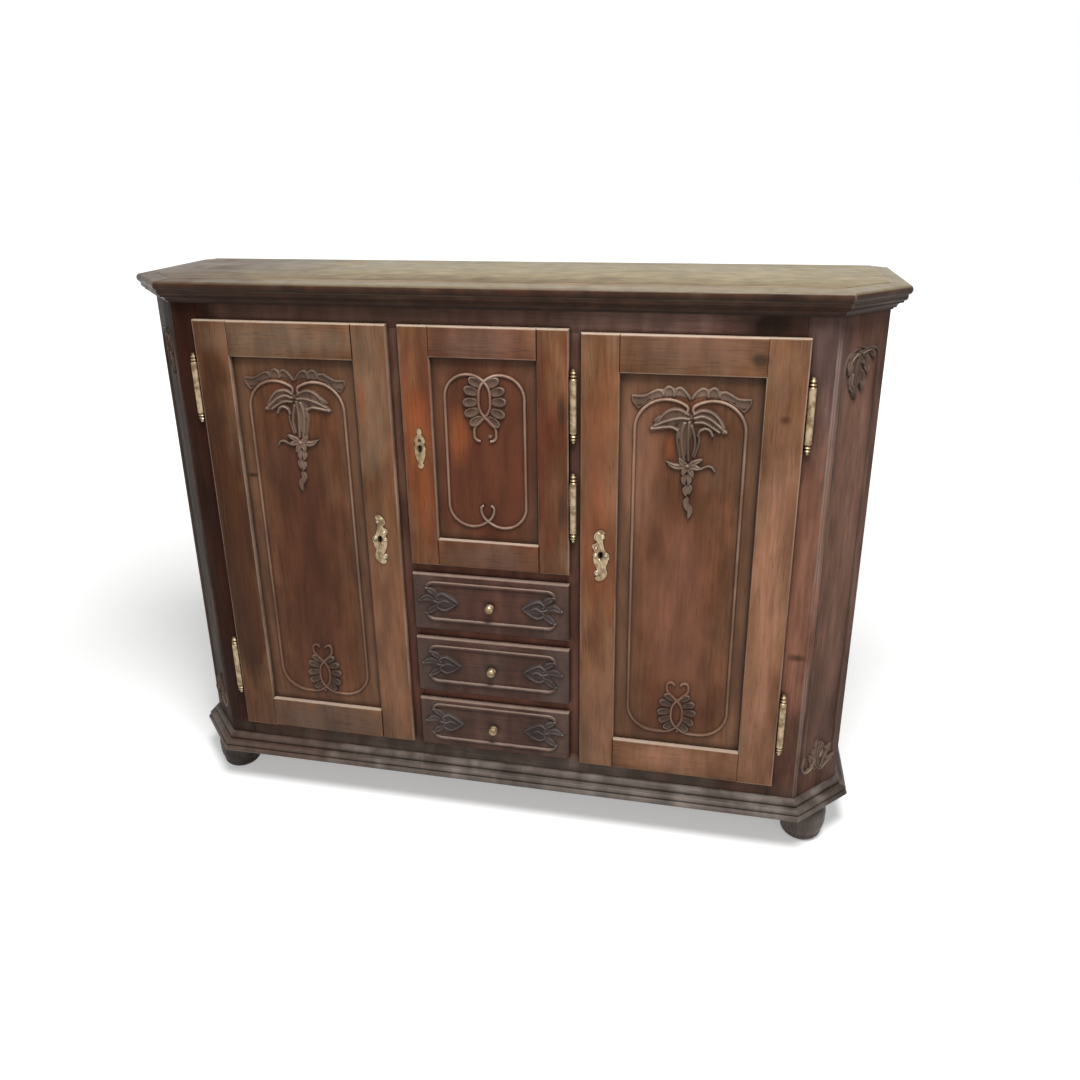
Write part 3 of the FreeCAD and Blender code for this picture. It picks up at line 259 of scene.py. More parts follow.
# The dark of dirt and pores, which also paints shade in corners and round the keyholes.
GRIME_AND_SHADE = (0.018, 0.011, 0.008, 1)
BRASS_BRIGHT = (0.39, 0.300, 0.19, 1)
BRASS_DULL = (0.185, 0.124, 0.068, 1)
BRASS_PALE = (0.66, 0.64, 0.53, 1)
BRASS_GRIME = (0.035, 0.023, 0.013, 1)
IRON = (0.060, 0.055, 0.052, 1)
IRON_RUST = (0.110, 0.052, 0.030, 1)


# Objects and meshes

def add_object(name, data):
    """Puts an object with this data in the scene."""
    added = bpy.data.objects.new(name, data)
    bpy.context.scene.collection.objects.link(added)
    return added


def as_mesh(solid, name):
    """A solid under work as a finished mesh."""
    mesh = bpy.data.meshes.new(name)
    solid.to_mesh(mesh)
    solid.free()
    return mesh


def joined(meshes, name):
    """Several meshes made into one."""
    whole = bmesh.new()
    for mesh in meshes:
        whole.from_mesh(mesh)
        bpy.data.meshes.remove(mesh)
    return as_mesh(whole, name)


def keep(mesh, name, values, kind="FLOAT"):
    """Keeps numbers, or vectors as one row of numbers, on the points of a mesh."""
    attribute = mesh.attributes.new(name, kind, "POINT")
    attribute.data.foreach_set("value" if kind == "FLOAT" else "vector", values)


def limited(share):
    """A share held between 0 and 1."""
    return min(max(share, 0.0), 1.0)


# Node graphs

def step(tree, kind, inputs=None, **settings):
    """Adds one node. An input that is a socket is linked, and any other is set."""
    node = tree.nodes.new(kind)
    for name, value in settings.items():
        setattr(node, name, value)
    for key, value in (inputs or {}).items():
        if isinstance(value, bpy.types.NodeSocket):
            tree.links.new(value, node.inputs[key])
        else:
            node.inputs[key].default_value = value
    return node


def sums(tree, operation, first, second=0.0, third=0.0):
    """One step of arithmetic on numbers."""
    return step(tree, "ShaderNodeMath", {0: first, 1: second, 2: third}, operation=operation).outputs[0]


def times(tree, first, second):
    """The product of two numbers."""
    return sums(tree, "MULTIPLY", first, second)


def scaled(tree, value, by, plus):
    """A number times another, plus a third."""
    return sums(tree, "MULTIPLY_ADD", value, by, plus)


def vectors(tree, operation, first, second=(0, 0, 0), third=(0, 0, 0)):
    """One step of arithmetic on vectors."""
    inputs = {0: first, 1: second, 2: third}
    return step(tree, "ShaderNodeVectorMath", inputs, operation=operation).outputs[0]


def length(tree, vector):
    """The length of a vector."""
    return step(tree, "ShaderNodeVectorMath", {0: vector}, operation="LENGTH").outputs["Value"]


def parts(tree, vector):
    """The three numbers of a vector."""
    return step(tree, "ShaderNodeSeparateXYZ", {0: vector}).outputs


def object_place(tree):
    """A point's place in the cabinet."""
    return step(tree, "ShaderNodeTexCoord").outputs["Object"]


def hollow(tree, reach):
    """How open a point is within a reach: 1 in the open, less in a corner."""
    inputs = {"Distance": reach}
    return step(tree, "ShaderNodeAmbientOcclusion", inputs, samples=HOLLOW_SAMPLES).outputs["AO"]


def bumped(tree, shader, height, strength, depth):
    """Gives a shader a fine relief."""
    bump = step(tree, "ShaderNodeBump", {"Height": height, "Strength": strength, "Distance": depth})
    tree.links.new(bump.outputs[0], shader.inputs["Normal"])


def ramp(tree, value, low, high):
    """0 below low, 1 above high, and smooth between; low may be the larger one."""
    inputs = {"Value": value, "From Min": low, "From Max": high}
    return step(tree, "ShaderNodeMapRange", inputs, interpolation_type="SMOOTHSTEP").outputs[0]


def noise(tree, place, scale, detail=2.0, distortion=0.0):
    """Cloudy noise from 0 to 1."""
    inputs = {"Vector": place, "Scale": scale, "Detail": detail, "Distortion": distortion}
    return step(tree, "ShaderNodeTexNoise", inputs).outputs[0]


def tint(tree, share, under, over):
    """The colour over, laid on the colour under by a share."""
    return step(tree, "ShaderNodeMix", {0: share, 6: under, 7: over}, data_type="RGBA").outputs[2]


def new_group(name, inputs, outputs):
    """An empty shader group that gives numbers; returns it, its entry's outputs and its exit's inputs."""
    group = bpy.data.node_groups.new(name, "ShaderNodeTree")
    for label, kind in inputs.items():
        group.interface.new_socket(label, in_out="INPUT", socket_type="NodeSocket" + kind)
    for label in outputs:
        group.interface.new_socket(label, in_out="OUTPUT", socket_type="NodeSocketFloat")
    entry = group.nodes.new("NodeGroupInput")
    leave = group.nodes.new("NodeGroupOutput")
    return group, entry.outputs, leave.inputs


def use(tree, group, inputs):
    """Places a group in a graph and returns its outputs."""
    return step(tree, "ShaderNodeGroup", inputs, node_tree=group).outputs


def grain_group():
    """Streaks, growth bands and pores of wood whose grain runs along the third coordinate."""
    inputs = {"Place": "Vector", "Seed": "Float"}
    tree, entry, leave = new_group("wood_grain", inputs, ("Streak", "Band", "Pore"))
    shifted = vectors(tree, "ADD", entry["Place"], entry["Seed"])
    sway = noise(tree, vectors(tree, "MULTIPLY", shifted, (9, 9, 2.2)), 1.0, 2)
    swayed = vectors(tree, "MULTIPLY_ADD", sway, (0.02, 0.02, 0), shifted)
    long = vectors(tree, "MULTIPLY", swayed, (1, 1, 0.05))
    streak = noise(tree, long, 190, 6)
    tree.links.new(ramp(tree, streak, 0.3, 0.7), leave["Streak"])
    growth = noise(tree, vectors(tree, "MULTIPLY", swayed, (1, 1, 0.11)), 14, 3, 0.4)
    rings = sums(tree, "PINGPONG", times(tree, growth, 11), 0.5)
    tree.links.new(times(tree, rings, 2), leave["Band"])
    pore = noise(tree, vectors(tree, "MULTIPLY", shifted, (1, 1, 0.028)), 900, 1)
    tree.links.new(ramp(tree, pore, 0.62, 0.74), leave["Pore"])
    return tree


def rub_line(tree, away, reach, place):
    """A worn line along an edge, from the distance to it: even in width, stronger and weaker in places."""
    chips = scaled(tree, noise(tree, place, 70, 4), 0.7, 0.65)
    line = ramp(tree, sums(tree, "DIVIDE", away, times(tree, reach, chips)), 1.0, 0.45)
    strength = ramp(tree, noise(tree, vectors(tree, "ADD", place, (3, 3, 3)), 11, 3), 0.28, 0.62)
    return times(tree, line, scaled(tree, strength, 0.88, 0.12))


def edge_group():
    """How near a point of a board is to one of its edges: a rubbed line and a wider margin."""
    inputs = {"Place": "Vector", "Half": "Vector", "Reach": "Float"}
    tree, entry, leave = new_group("board_edges", inputs, ("Rub", "Margin"))
    spread = vectors(tree, "ABSOLUTE", entry["Place"])
    depth = parts(tree, vectors(tree, "SUBTRACT", entry["Half"], spread))
    least = sums(tree, "MINIMUM", depth[0], depth[1])
    most = sums(tree, "MAXIMUM", depth[0], depth[1])
    away = sums(tree, "MAXIMUM", least, sums(tree, "MINIMUM", most, depth[2]))
    tree.links.new(rub_line(tree, away, entry["Reach"], entry["Place"]), leave["Rub"])
    inward = sums(tree, "MINIMUM", depth[0], depth[2])
    tree.links.new(ramp(tree, inward, 0.060, 0.012), leave["Margin"])
    return tree


def frame_group():
    """How near a point of a frame is to its outer edges and to the edges of its opening."""
    inputs = {"Place": "Vector", **dict.fromkeys(FRAME_SIZES, "Vector"), "Reach": "Float"}
    tree, entry, leave = new_group("frame_edges", inputs, ("Rub",))
    spread = vectors(tree, "ABSOLUTE", vectors(tree, "SUBTRACT", entry["Place"], entry["Middle"]))
    outer = parts(tree, vectors(tree, "SUBTRACT", entry["Outer"], spread))
    inner = parts(tree, vectors(tree, "SUBTRACT", spread, entry["Opening"]))
    to_outside = sums(tree, "MINIMUM", sums(tree, "ABSOLUTE", outer[0]), outer[2])
    to_opening = times(tree, sums(tree, "MAXIMUM", inner[0], inner[2]), 1.5)
    away = sums(tree, "MINIMUM", to_outside, to_opening)
    tree.links.new(rub_line(tree, away, entry["Reach"], entry["Place"]), leave["Rub"])
    return tree


def age_group():
    """Cloudy stains, greyed wear and scratches that pass over all boards."""
    inputs = {"Place": "Vector", "Seed": "Float"}
    marks = ("Cloud", "Stain", "Worn", "Scratch", "Dent", "Mottle")
    tree, entry, leave = new_group("old_age", inputs, marks)
    shifted = vectors(tree, "ADD", entry["Place"], entry["Seed"])
    place = vectors(tree, "MULTIPLY", shifted, (1, 1, 0.45))
    tree.links.new(ramp(tree, noise(tree, place, 30, 7), 0.30, 0.70), leave["Cloud"])
    tree.links.new(ramp(tree, noise(tree, place, 9, 4), 0.42, 0.72), leave["Stain"])
    tree.links.new(ramp(tree, noise(tree, place, 15, 6, 0.3), 0.45, 0.75), leave["Worn"])
    lines = vectors(tree, "MULTIPLY", entry["Place"], (300, 300, 9))
    tree.links.new(ramp(tree, noise(tree, lines, 1.0, 2, 0.6), 0.70, 0.78), leave["Scratch"])
    tree.links.new(noise(tree, entry["Place"], 45, 3), leave["Dent"])
    drawn = vectors(tree, "MULTIPLY", place, (1, 1, 0.5))
    tree.links.new(ramp(tree, noise(tree, drawn, 34, 9), 0.28, 0.72), leave["Mottle"])
    return tree


def patch_group():
    """A soft-edged spot of a given middle and half size, with an uneven outline."""
    inputs = {"Place": "Vector", "Middle": "Vector", "Half": "Vector"}
    tree, entry, leave = new_group("soft_patch", inputs, ("Mask",))
    offset = vectors(tree, "SUBTRACT", entry["Place"], entry["Middle"])
    away = length(tree, vectors(tree, "DIVIDE", offset, entry["Half"]))
    drawn = vectors(tree, "MULTIPLY", entry["Place"], (1, 1, 0.4))
    uneven = times(tree, noise(tree, drawn, 26, 3), 0.9)
    tree.links.new(ramp(tree, sums(tree, "ADD", away, uneven), 1.5, 0.6), leave["Mask"])
    return tree


GRAIN = grain_group()
EDGES = edge_group()
FRAME_EDGES = frame_group()
AGE = age_group()
PATCH = patch_group()


def empty_tree(owner):
    """The emptied node graph of a material or world."""
    owner.use_nodes = True
    owner.node_tree.nodes.clear()
    return owner.node_tree


def new_material(name):
    """A material with only a shader and its output; returns it, its tree and the shader."""
    material = bpy.data.materials.new(name)
    tree = empty_tree(material)
    shader = tree.nodes.new("ShaderNodeBsdfPrincipled")
    step(tree, "ShaderNodeOutputMaterial", {"Surface": shader.outputs[0]})
    return material, tree, shader


def read(tree, name, kind="Vector"):
    """A value kept on the mesh."""
    return step(tree, "ShaderNodeAttribute", attribute_name=name).outputs[kind]


def wood(name, dark, light, grey, grey_share=0.5, rub_share=0.75, rub_reach=3.2 * MM, border_share=0.0,
         wear_and_highlight_colour=RUBBED, dust_and_highlight_share=0.0, dirt_and_shade_share=0.8, dirt_and_shade_from=0.88, dirt_and_shade_reach=8 * MM, mottle=0.50,
         rough=0.56, shine=0.12, patches=(), wear_and_highlight_spots=(), crest=None, crest_face=0.30, framed=False):
    """Old waxed wood: grain along the board, stains, grey wear, rubbed edges, upward faces lighter with
    dust and a painted highlight, raised tops lighter with wear and a painted highlight, and corners darker
    with dirt and painted shade.
    """
    material, tree, shader = new_material(name)
    at = read(tree, "wood_at")
    half = read(tree, "wood_half")
    seed = read(tree, "wood_seed", "Fac")
    place = object_place(tree)
    grain = use(tree, GRAIN, {"Place": at, "Seed": seed})
    age = use(tree, AGE, {"Place": place, "Seed": seed})
    if framed:
        sizes = {size: read(tree, "frame_" + size.lower()) for size in FRAME_SIZES}
        edge = use(tree, FRAME_EDGES, {"Place": place, "Reach": rub_reach, **sizes})
    else:
        edge = use(tree, EDGES, {"Place": at, "Half": half, "Reach": rub_reach})

    def spotted(under, spots):
        for middle, size, hue, share in spots:
            spot = use(tree, PATCH, {"Place": place, "Middle": middle, "Half": size})
            streaked = tint(tree, times(tree, grain["Streak"], SPOT_STREAK), hue, dark)
            under = tint(tree, times(tree, spot["Mask"], share), under, streaked)
        return under

    figure = scaled(tree, grain["Streak"], STREAK_SHARE, times(tree, age["Cloud"], CLOUD_SHARE))
    colour = tint(tree, figure, dark, light)
    colour = tint(tree, times(tree, grain["Band"], BAND_SHARE), colour, dark)
    colour = tint(tree, times(tree, age["Stain"], STAIN_SHARE), colour, dark)
    faded = times(tree, age["Worn"], grey_share)
    if border_share:
        faded = sums(tree, "MAXIMUM", faded, times(tree, edge["Margin"], border_share))
    colour = spotted(tint(tree, faded, colour, grey), patches)
    mottled = scaled(tree, age["Mottle"], mottle, 1 - mottle / 2)
    colour = step(tree, "ShaderNodeVectorMath", {0: colour, "Scale": mottled}, operation="SCALE").outputs[0]
    colour = tint(tree, times(tree, grain["Pore"], PORE_SHARE), colour, GRIME_AND_SHADE)
    upward = parts(tree, step(tree, "ShaderNodeNewGeometry").outputs["Normal"])[2]
    ledge = ramp(tree, upward, *LEDGE_SLOPE)
    # Raised tops take the crest colour: wear on the high points, and a painted highlight on their
    # upward-facing sides.
    if crest:
        proud = ramp(tree, read(tree, "relief", "Fac"), *CREST_HEIGHT)
        upper = scaled(tree, ramp(tree, upward, *CREST_SLOPE), 1 - crest_face, crest_face)
        worn = times(tree, proud, scaled(tree, age["Cloud"], *CREST_WEAR))
        colour = tint(tree, times(tree, worn, upper), colour, crest)
    wear = spotted(wear_and_highlight_colour, wear_and_highlight_spots)
    colour = tint(tree, times(tree, edge["Rub"], rub_share), colour, wear)
    # Upward faces take the worn colour: dust, and a painted highlight as if lit from above.
    if dust_and_highlight_share:
        dust_and_highlight = times(tree, ledge, scaled(tree, age["Dent"], LEDGE_DENTS, LEDGE_EVEN * dust_and_highlight_share))
        colour = tint(tree, dust_and_highlight, colour, wear)
    # Corners, creases and the ground beside raised work are darkened, less on upward faces: dirt, and
    # painted shade where less light reaches.
    dirt_and_shade = ramp(tree, hollow(tree, dirt_and_shade_reach), dirt_and_shade_from, dirt_and_shade_from - DIRT_AND_SHADE_FADE)
    dirt_and_shade = times(tree, times(tree, dirt_and_shade, dirt_and_shade_share), scaled(tree, ledge, LEDGE_LESS_DIRT_AND_SHADE, 1.0))
    tree.links.new(tint(tree, dirt_and_shade, colour, GRIME_AND_SHADE), shader.inputs["Base Color"])
    duller = scaled(tree, age["Worn"], WORN_DULL, rough)
    tree.links.new(scaled(tree, grain["Streak"], STREAK_POLISH, duller), shader.inputs["Roughness"])
    shader.inputs["Specular IOR Level"].default_value = shine
    relief = scaled(tree, grain["Pore"], PORE_DEPTH, grain["Streak"])
    relief = scaled(tree, age["Dent"], DENT_DEPTH, relief)
    relief = scaled(tree, age["Scratch"], SCRATCH_DEPTH, relief)
    bumped(tree, shader, relief, WOOD_BUMP, WOOD_BUMP_DEPTH)
    return material


def metal(name, bright, dull, grime, rough, crest=None, patches=()):
    """Old metal: bright where it is handled, dull and grimy elsewhere, and paler on raised parts with wear
    and a painted highlight.
    """
    material, tree, shader = new_material(name)
    place = object_place(tree)
    tarnish = ramp(tree, noise(tree, place, 95, 4), 0.36, 0.68)
    colour = tint(tree, tarnish, bright, dull)
    # Raised parts take a pale colour: handled wear and a painted highlight.
    if crest:
        proud = ramp(tree, read(tree, "relief", "Fac"), *PROUD_METAL)
        colour = tint(tree, proud, colour, crest)
    colour = tint(tree, ramp(tree, hollow(tree, METAL_GRIME_REACH), 0.88, 0.45), colour, grime)
    for middle, size, hue, share in patches:
        spot = use(tree, PATCH, {"Place": place, "Middle": middle, "Half": size})
        colour = tint(tree, times(tree, spot["Mask"], share), colour, hue)
    tree.links.new(colour, shader.inputs["Base Color"])
    tree.links.new(scaled(tree, tarnish, METAL_DULL, rough), shader.inputs["Roughness"])
    shader.inputs["Metallic"].default_value = METAL_SHARE
    bumped(tree, shader, noise(tree, place, 700, 3), METAL_BUMP, METAL_BUMP_DEPTH)
    return material


# Spots of another tone, and spots of painted light, shade and reflection: middle and half size in metres,
# colour and strength.
SPOT_DEPTH = 0.05
DOOR_FACE = -137 * MM
FRAME_FACE = -127 * MM
CARVING_FACE = -130 * MM
# Round each keyhole a dark spot of dirt and painted shade that makes the hole look larger.
KEYHOLE_SPOT = (5.8 * MM, 50 * MM, 7.8 * MM)
KEYHOLE_DIRT_AND_SHADE = 3.0
CENTRE_PLATE_SPOT = ((-0.136, -0.140, 0.725), (0.040, 0.05, 0.070), BRASS_DULL, 0.60)


def spots(face, rows):
    """Spots on an upright face: rows of a middle and half size across and up, a colour and a strength."""
    return [((across, face, up), (wide, SPOT_DEPTH, high), hue, share)
            for across, up, wide, high, hue, share in rows]


DOOR_PATCHES = spots(DOOR_FACE, (
    (0.0, 0.72, 0.190, 0.360, CENTRE_RED, 1.60),
    (-0.113, 0.70, 0.032, 0.200, DOOR_ORANGE, 0.60),
    (-0.475, 0.52, 0.070, 0.600, DOOR_SHADE, 1.20),
    (-0.327, 0.90, 0.190, 0.040, DOOR_OLIVE, 0.50),
    (-0.187, 0.35, 0.060, 0.300, DOOR_TAN, 0.45),
    (0.187, 0.62, 0.045, 0.300, DOOR_RED, 0.75),
    (0.187, 0.25, 0.050, 0.160, DOOR_TAN, 0.50),
    (0.466, 0.50, 0.045, 0.420, DOOR_TAN, 1.05),
    (0.327, 0.17, 0.140, 0.045, DOOR_TAN, 0.75),
    (0.0, 0.905, 0.120, 0.060, RAIL_OLIVE, 0.90),
    (0.0, 0.535, 0.120, 0.050, RAIL_BROWN, 0.80),
    (-0.327, 0.165, 0.170, 0.060, RAIL_BROWN, 1.30),
    (0.327, 0.905, 0.160, 0.045, RAIL_OLIVE, 0.70),
    (-0.187, 0.82, 0.050, 0.180, DOOR_OLIVE, 0.35),
    (0.128, 0.80, 0.010, 0.040, GRIME_AND_SHADE, 0.70),
    (0.126, 0.63, 0.010, 0.050, GRIME_AND_SHADE, 0.70),
    (0.425, 0.89, 0.018, 0.013, GRIME_AND_SHADE, 0.80),
    (0.468, 0.80, 0.012, 0.010, DOOR_SHADE, 0.80),
    (-0.205, 0.80, 0.008, 0.050, DOOR_ORANGE, 0.60),
))
PANEL_PATCHES = spots(PANEL_GROUND, (
    (0.0, 0.70, 0.140, 0.280, CENTRE_DEEP, 1.30),
    (-0.045, 0.75, 0.026, 0.060, DOOR_ORANGE, 0.70),
    (0.298, 0.745, 0.010, 0.028, DOOR_ORANGE, 0.60),
    (0.320, 0.45, 0.070, 0.230, PANEL_WARM, 0.80),
    (-0.335, 0.50, 0.090, 0.380, PANEL_RED, 0.85),
    (0.250, 0.70, 0.050, 0.200, PANEL_TAN, 0.85),
    (-0.424, 0.656, 0.014, 0.005, GRIME_AND_SHADE, 0.90),
    (0.330, 0.66, 0.050, 0.050, PANEL_DARK, 0.50),
    (0.320, 0.25, 0.090, 0.090, PANEL_DARK, 0.70),
))
FRIEZE_PATCHES = [
    *spots(FRAME_FACE, (
        (-0.050, 0.95, 0.900, 0.060, FRIEZE_BROWN, 0.90),
        (0.260, 0.95, 0.200, 0.060, FRIEZE_PALE, 0.90),
        (0.440, 0.94, 0.055, 0.034, GRIME_AND_SHADE, 1.20),
        (0.0, 0.33, 0.300, 0.340, RAIL_RED, 0.90),
        (-0.515, 0.55, 0.070, 1.300, CARCASS_RED, 1.60),
        (0.535, 0.92, 0.055, 0.260, STILE_MAUVE, 1.10),
        (0.520, 0.47, 0.060, 0.360, STILE_RED, 0.85),
        (0.0, 0.122, 0.700, 0.026, RAIL_GREY, 1.00),
    )),
    # Painted light and shade: the right cant lighter, the left cant near black.
    ((0.575, -0.088, 0.58), (0.070, 0.07, 0.560), RIGHT_CANT_PAINTED_LIGHT, 0.90),
    ((-0.575, -0.088, 0.55), (0.080, 0.08, 1.200), LEFT_CANT_PAINTED_SHADE, 1.10),
    *spots(FRAME_FACE, (
        (0.520, 0.39, 0.020, 0.010, GRIME_AND_SHADE, 0.70),
    )),
    ((0.560, -0.100, 0.32), (0.030, 0.05, 0.110), GRIME_AND_SHADE, 0.45),
]
DRAWER_PATCHES = spots(DRAWER_GROUND, (
    (0.0, 0.44, 0.080, 0.060, DRAWER_RED, 0.55),
    (-0.120, 0.32, 0.050, 0.300, DRAWER_GREY, 0.45),
    (0.120, 0.32, 0.050, 0.300, DRAWER_GREY, 0.45),
))
TOP_PATCHES = (
    # Painted reflection: the left end of the top darker.
    ((-0.560, 0.0, 0.996), (0.300, 0.40, 0.05), TOP_BROWN, 1.00),
    ((-0.050, -0.150, 0.996), (0.900, 0.13, 0.05), TOP_BROWN, 0.75),
)
PLINTH_PATCHES = (
    ((-0.450, -0.140, 0.09), (0.220, 0.08, 0.060), FRIEZE_BROWN, 0.55),
    # Painted shadow: the left foot darkened.
    ((-0.570, -0.090, 0.03), (0.090, 0.09, 0.040), GRIME_AND_SHADE, 0.90),
    ((0.240, -0.140, 0.07), (0.600, 0.08, 0.060), PLINTH_GREY, 0.40),
)
CARVING_PATCHES = spots(CARVING_FACE, (
    (-0.327, 0.250, 0.080, 0.100, SHELL_DARK, 0.75),
    (0.327, 0.250, 0.080, 0.100, SHELL_DARK, 0.85),
    (0.327, 0.862, 0.220, 0.050, CREST_TAN, 1.20),
))


def keyhole(door):
    """The place of a door's keyhole, on the face of its plate."""
    plate_low, plate_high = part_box(door + "_escutcheon")
    bolt_low, bolt_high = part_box(door + "_lock_bolt")
    return (plate_low.x + plate_high.x) / 2, plate_low.y, (bolt_low.z + bolt_high.z) / 2


def brass_spots():
    """Dark spots of dirt and painted shade round the three keyholes, and the duller plate of the centre
    door.
    """
    holes = [(keyhole(door), KEYHOLE_SPOT, GRIME_AND_SHADE, KEYHOLE_DIRT_AND_SHADE) for door in DOOR_HANDS]
    return [*holes, CENTRE_PLATE_SPOT]


FINISHES = {
    "carcass_wood": wood(
        "dark_frame_wood", CARCASS_DARK, CARCASS_LIGHT, CARCASS_GREY, grey_share=0.35, wear_and_highlight_colour=RUBBED_DARK,
        rub_share=0.6, rub_reach=4.5 * MM, shine=0.05, patches=FRIEZE_PATCHES, framed=True),
    "door_frame_wood": wood(
        "door_wood", DOOR_DARK, DOOR_LIGHT, DOOR_GREY, wear_and_highlight_colour=PALE_WEAR_AND_HIGHLIGHT, rub_share=0.36, dust_and_highlight_share=0.8,
        patches=DOOR_PATCHES, framed=True),
    "panel_wood": wood(
        "panel_wood", PANEL_DARK, PANEL_LIGHT, PANEL_GREY, grey_share=0.35, border_share=0.35,
        dirt_and_shade_from=0.98, dirt_and_shade_reach=14 * MM, patches=PANEL_PATCHES, crest=STRING_CREST),
    "drawer_wood": wood(
        "drawer_wood", DRAWER_DARK, DRAWER_LIGHT, DRAWER_GREY, grey_share=0.3, wear_and_highlight_colour=LIP_WEAR_AND_HIGHLIGHT,
        rub_share=0.3, dust_and_highlight_share=0.65, dirt_and_shade_from=0.98, dirt_and_shade_reach=12 * MM,
        patches=DRAWER_PATCHES, crest=DRAWER_CREST, crest_face=0.15),
    "top_wood": wood(
        "top_wood", TOP_DARK, TOP_LIGHT, TOP_GREY, mottle=0.3, rough=0.42, shine=0.10, patches=TOP_PATCHES),
    "cornice_wood": wood(
        "cornice_wood", CORNICE_DARK, CORNICE_LIGHT, CORNICE_GREY, rough=0.42, shine=0.14,
        wear_and_highlight_colour=CORNICE_WEAR_AND_HIGHLIGHT, rub_share=0.4, dust_and_highlight_share=0.6, dirt_and_shade_share=0.9, dirt_and_shade_from=0.95,
        # The same painted reflection darkens the worn and highlighted faces at the cornice's left end.
        wear_and_highlight_spots=TOP_PATCHES[:1]),
    "plinth_wood": wood(
        "plinth_wood", PLINTH_DARK, PLINTH_LIGHT, PLINTH_GREY, grey_share=0.7, rough=0.5, wear_and_highlight_colour=RUBBED_DARK,
        rub_share=0.45, dirt_and_shade_share=0.95, dirt_and_shade_from=0.95, patches=PLINTH_PATCHES),
    "inner_wood": wood(
        "inner_wood", INNER_DARK, INNER_LIGHT, INNER_GREY, grey_share=0.3, mottle=0.15, rough=0.68),
    "brass": metal("old_brass", BRASS_BRIGHT, BRASS_DULL, BRASS_GRIME, 0.33, patches=brass_spots()),
    "iron": metal("old_iron", IRON, IRON_RUST, GRIME_AND_SHADE, 0.45),
}
CARVED_FINISHES = {
    "panel_wood": wood(
        "carved_panel_wood", LEAF_DARK, LEAF_LIGHT, LEAF_GREY, grey_share=0.4, rub_share=0.0,
        dirt_and_shade_share=0.7, dirt_and_shade_from=0.84, patches=CARVING_PATCHES, crest=LEAF_CREST, crest_face=0.20),
    "drawer_wood": wood(
        "carved_drawer_wood", FAN_DARK, FAN_LIGHT, FAN_GREY, grey_share=0.4, rub_share=0.0,
        dirt_and_shade_share=0.7, dirt_and_shade_from=0.84, crest=FAN_CREST, crest_face=0.20),
    "carcass_wood": wood(
        "carved_frame_wood", FOOT_DARK, FOOT_LIGHT, LEAF_GREY, grey_share=0.3, rub_share=0.0,
        dirt_and_shade_share=0.8, dirt_and_shade_from=0.86, crest=CREST_TAN, crest_face=0.45),
    "brass": metal("raised_brass", BRASS_BRIGHT, BRASS_DULL, BRASS_GRIME, 0.30, crest=BRASS_PALE),
}


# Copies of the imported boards, eased at their corners

def closed_solids(mesh):
    """The mesh's separate closed solids, each as a list of triangles of points."""
    found = []
    triangles = []
    unmatched = set()
    mesh.calc_loop_triangles()
    keys = [tuple(round(c / WELD) for c in v.co) for v in mesh.vertices]
    for triangle in mesh.loop_triangles:
        corners = [keys[i] for i in triangle.vertices]
        if len(set(corners)) < 3:
            continue
        triangles.append([mesh.vertices[i].co for i in triangle.vertices])
        for first, second in zip(corners, corners[1:] + corners[:1]):
            if (second, first) in unmatched:
                unmatched.remove((second, first))
            else:
                unmatched.add((first, second))
        if not unmatched:
            found.append(triangles)
            triangles = []
    return found + ([triangles] if triangles else [])


def board_axes(solid):
    """A board's axes across, through and along it: along its longest edge, through its largest face."""
    longest = max(solid.edges, key=lambda edge: edge.calc_length())
    along = (longest.verts[1].co - longest.verts[0].co).normalized()
    side = [face for face in solid.faces if abs(face.normal.dot(along)) < SIDE_SLOPE]
    through = max(side or solid.faces, key=lambda face: face.calc_area()).normal
    through = (through - along * through.dot(along)).normalized()
    return Matrix((along.cross(through), through, along))


def outer_edges(solid):
    """The long convex edges of a board."""
    return [edge for edge in solid.edges if len(edge.link_faces) == 2 and edge.is_convex
            and edge.calc_length() > ARRIS_LEAST_EDGE and edge.calc_face_angle() > ARRIS_LEAST_ANGLE]


def ease(solid, lip=None):
    """Rounds the long outer edges of a board, and more those on its door's or drawer's front outline."""
    if lip:
        edges = outer_edges(solid)
        rims = [edge for edge in edges if all(on_outline(vert.co, *lip) for vert in edge.verts)]
        round_edges(solid, rims, LIP_WIDTH, LIP_STEPS)
    round_edges(solid, outer_edges(solid), ARRIS_WIDTH, ARRIS_STEPS)


def round_edges(solid, edges, width, steps):
    """Rounds some edges of a solid."""
    bmesh.ops.bevel(solid, geom=edges, offset=width, segments=steps, profile=0.5, affect="EDGES",
                    clamp_overlap=True)


def on_outline(spot, low, high):
    """Whether a point is on the front face's outer edge, within a box."""
    inside = min(spot.x - low.x, high.x - spot.x, spot.z - low.z, high.z - spot.z)
    return abs(spot.y - low.y) < ON_FACE and inside < ON_FACE


def keep_grain(mesh, axes, middle, half, seed):
    """Keeps each point's place in its board, the board's half size and its seed on a mesh."""
    count = len(mesh.vertices)
    keep(mesh, "wood_at", [c for v in mesh.vertices for c in axes @ v.co - middle], "FLOAT_VECTOR")
    keep(mesh, "wood_half", list(half) * count, "FLOAT_VECTOR")
    keep(mesh, "wood_seed", [seed] * count)


def add_piece(name, mesh, node):
    """Puts a mesh in the scene as a piece which rides with a node's body."""
    piece = add_object(name, mesh)
    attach(piece, frame["nodes"][node]["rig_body"])
    return piece


BOARDS = {}


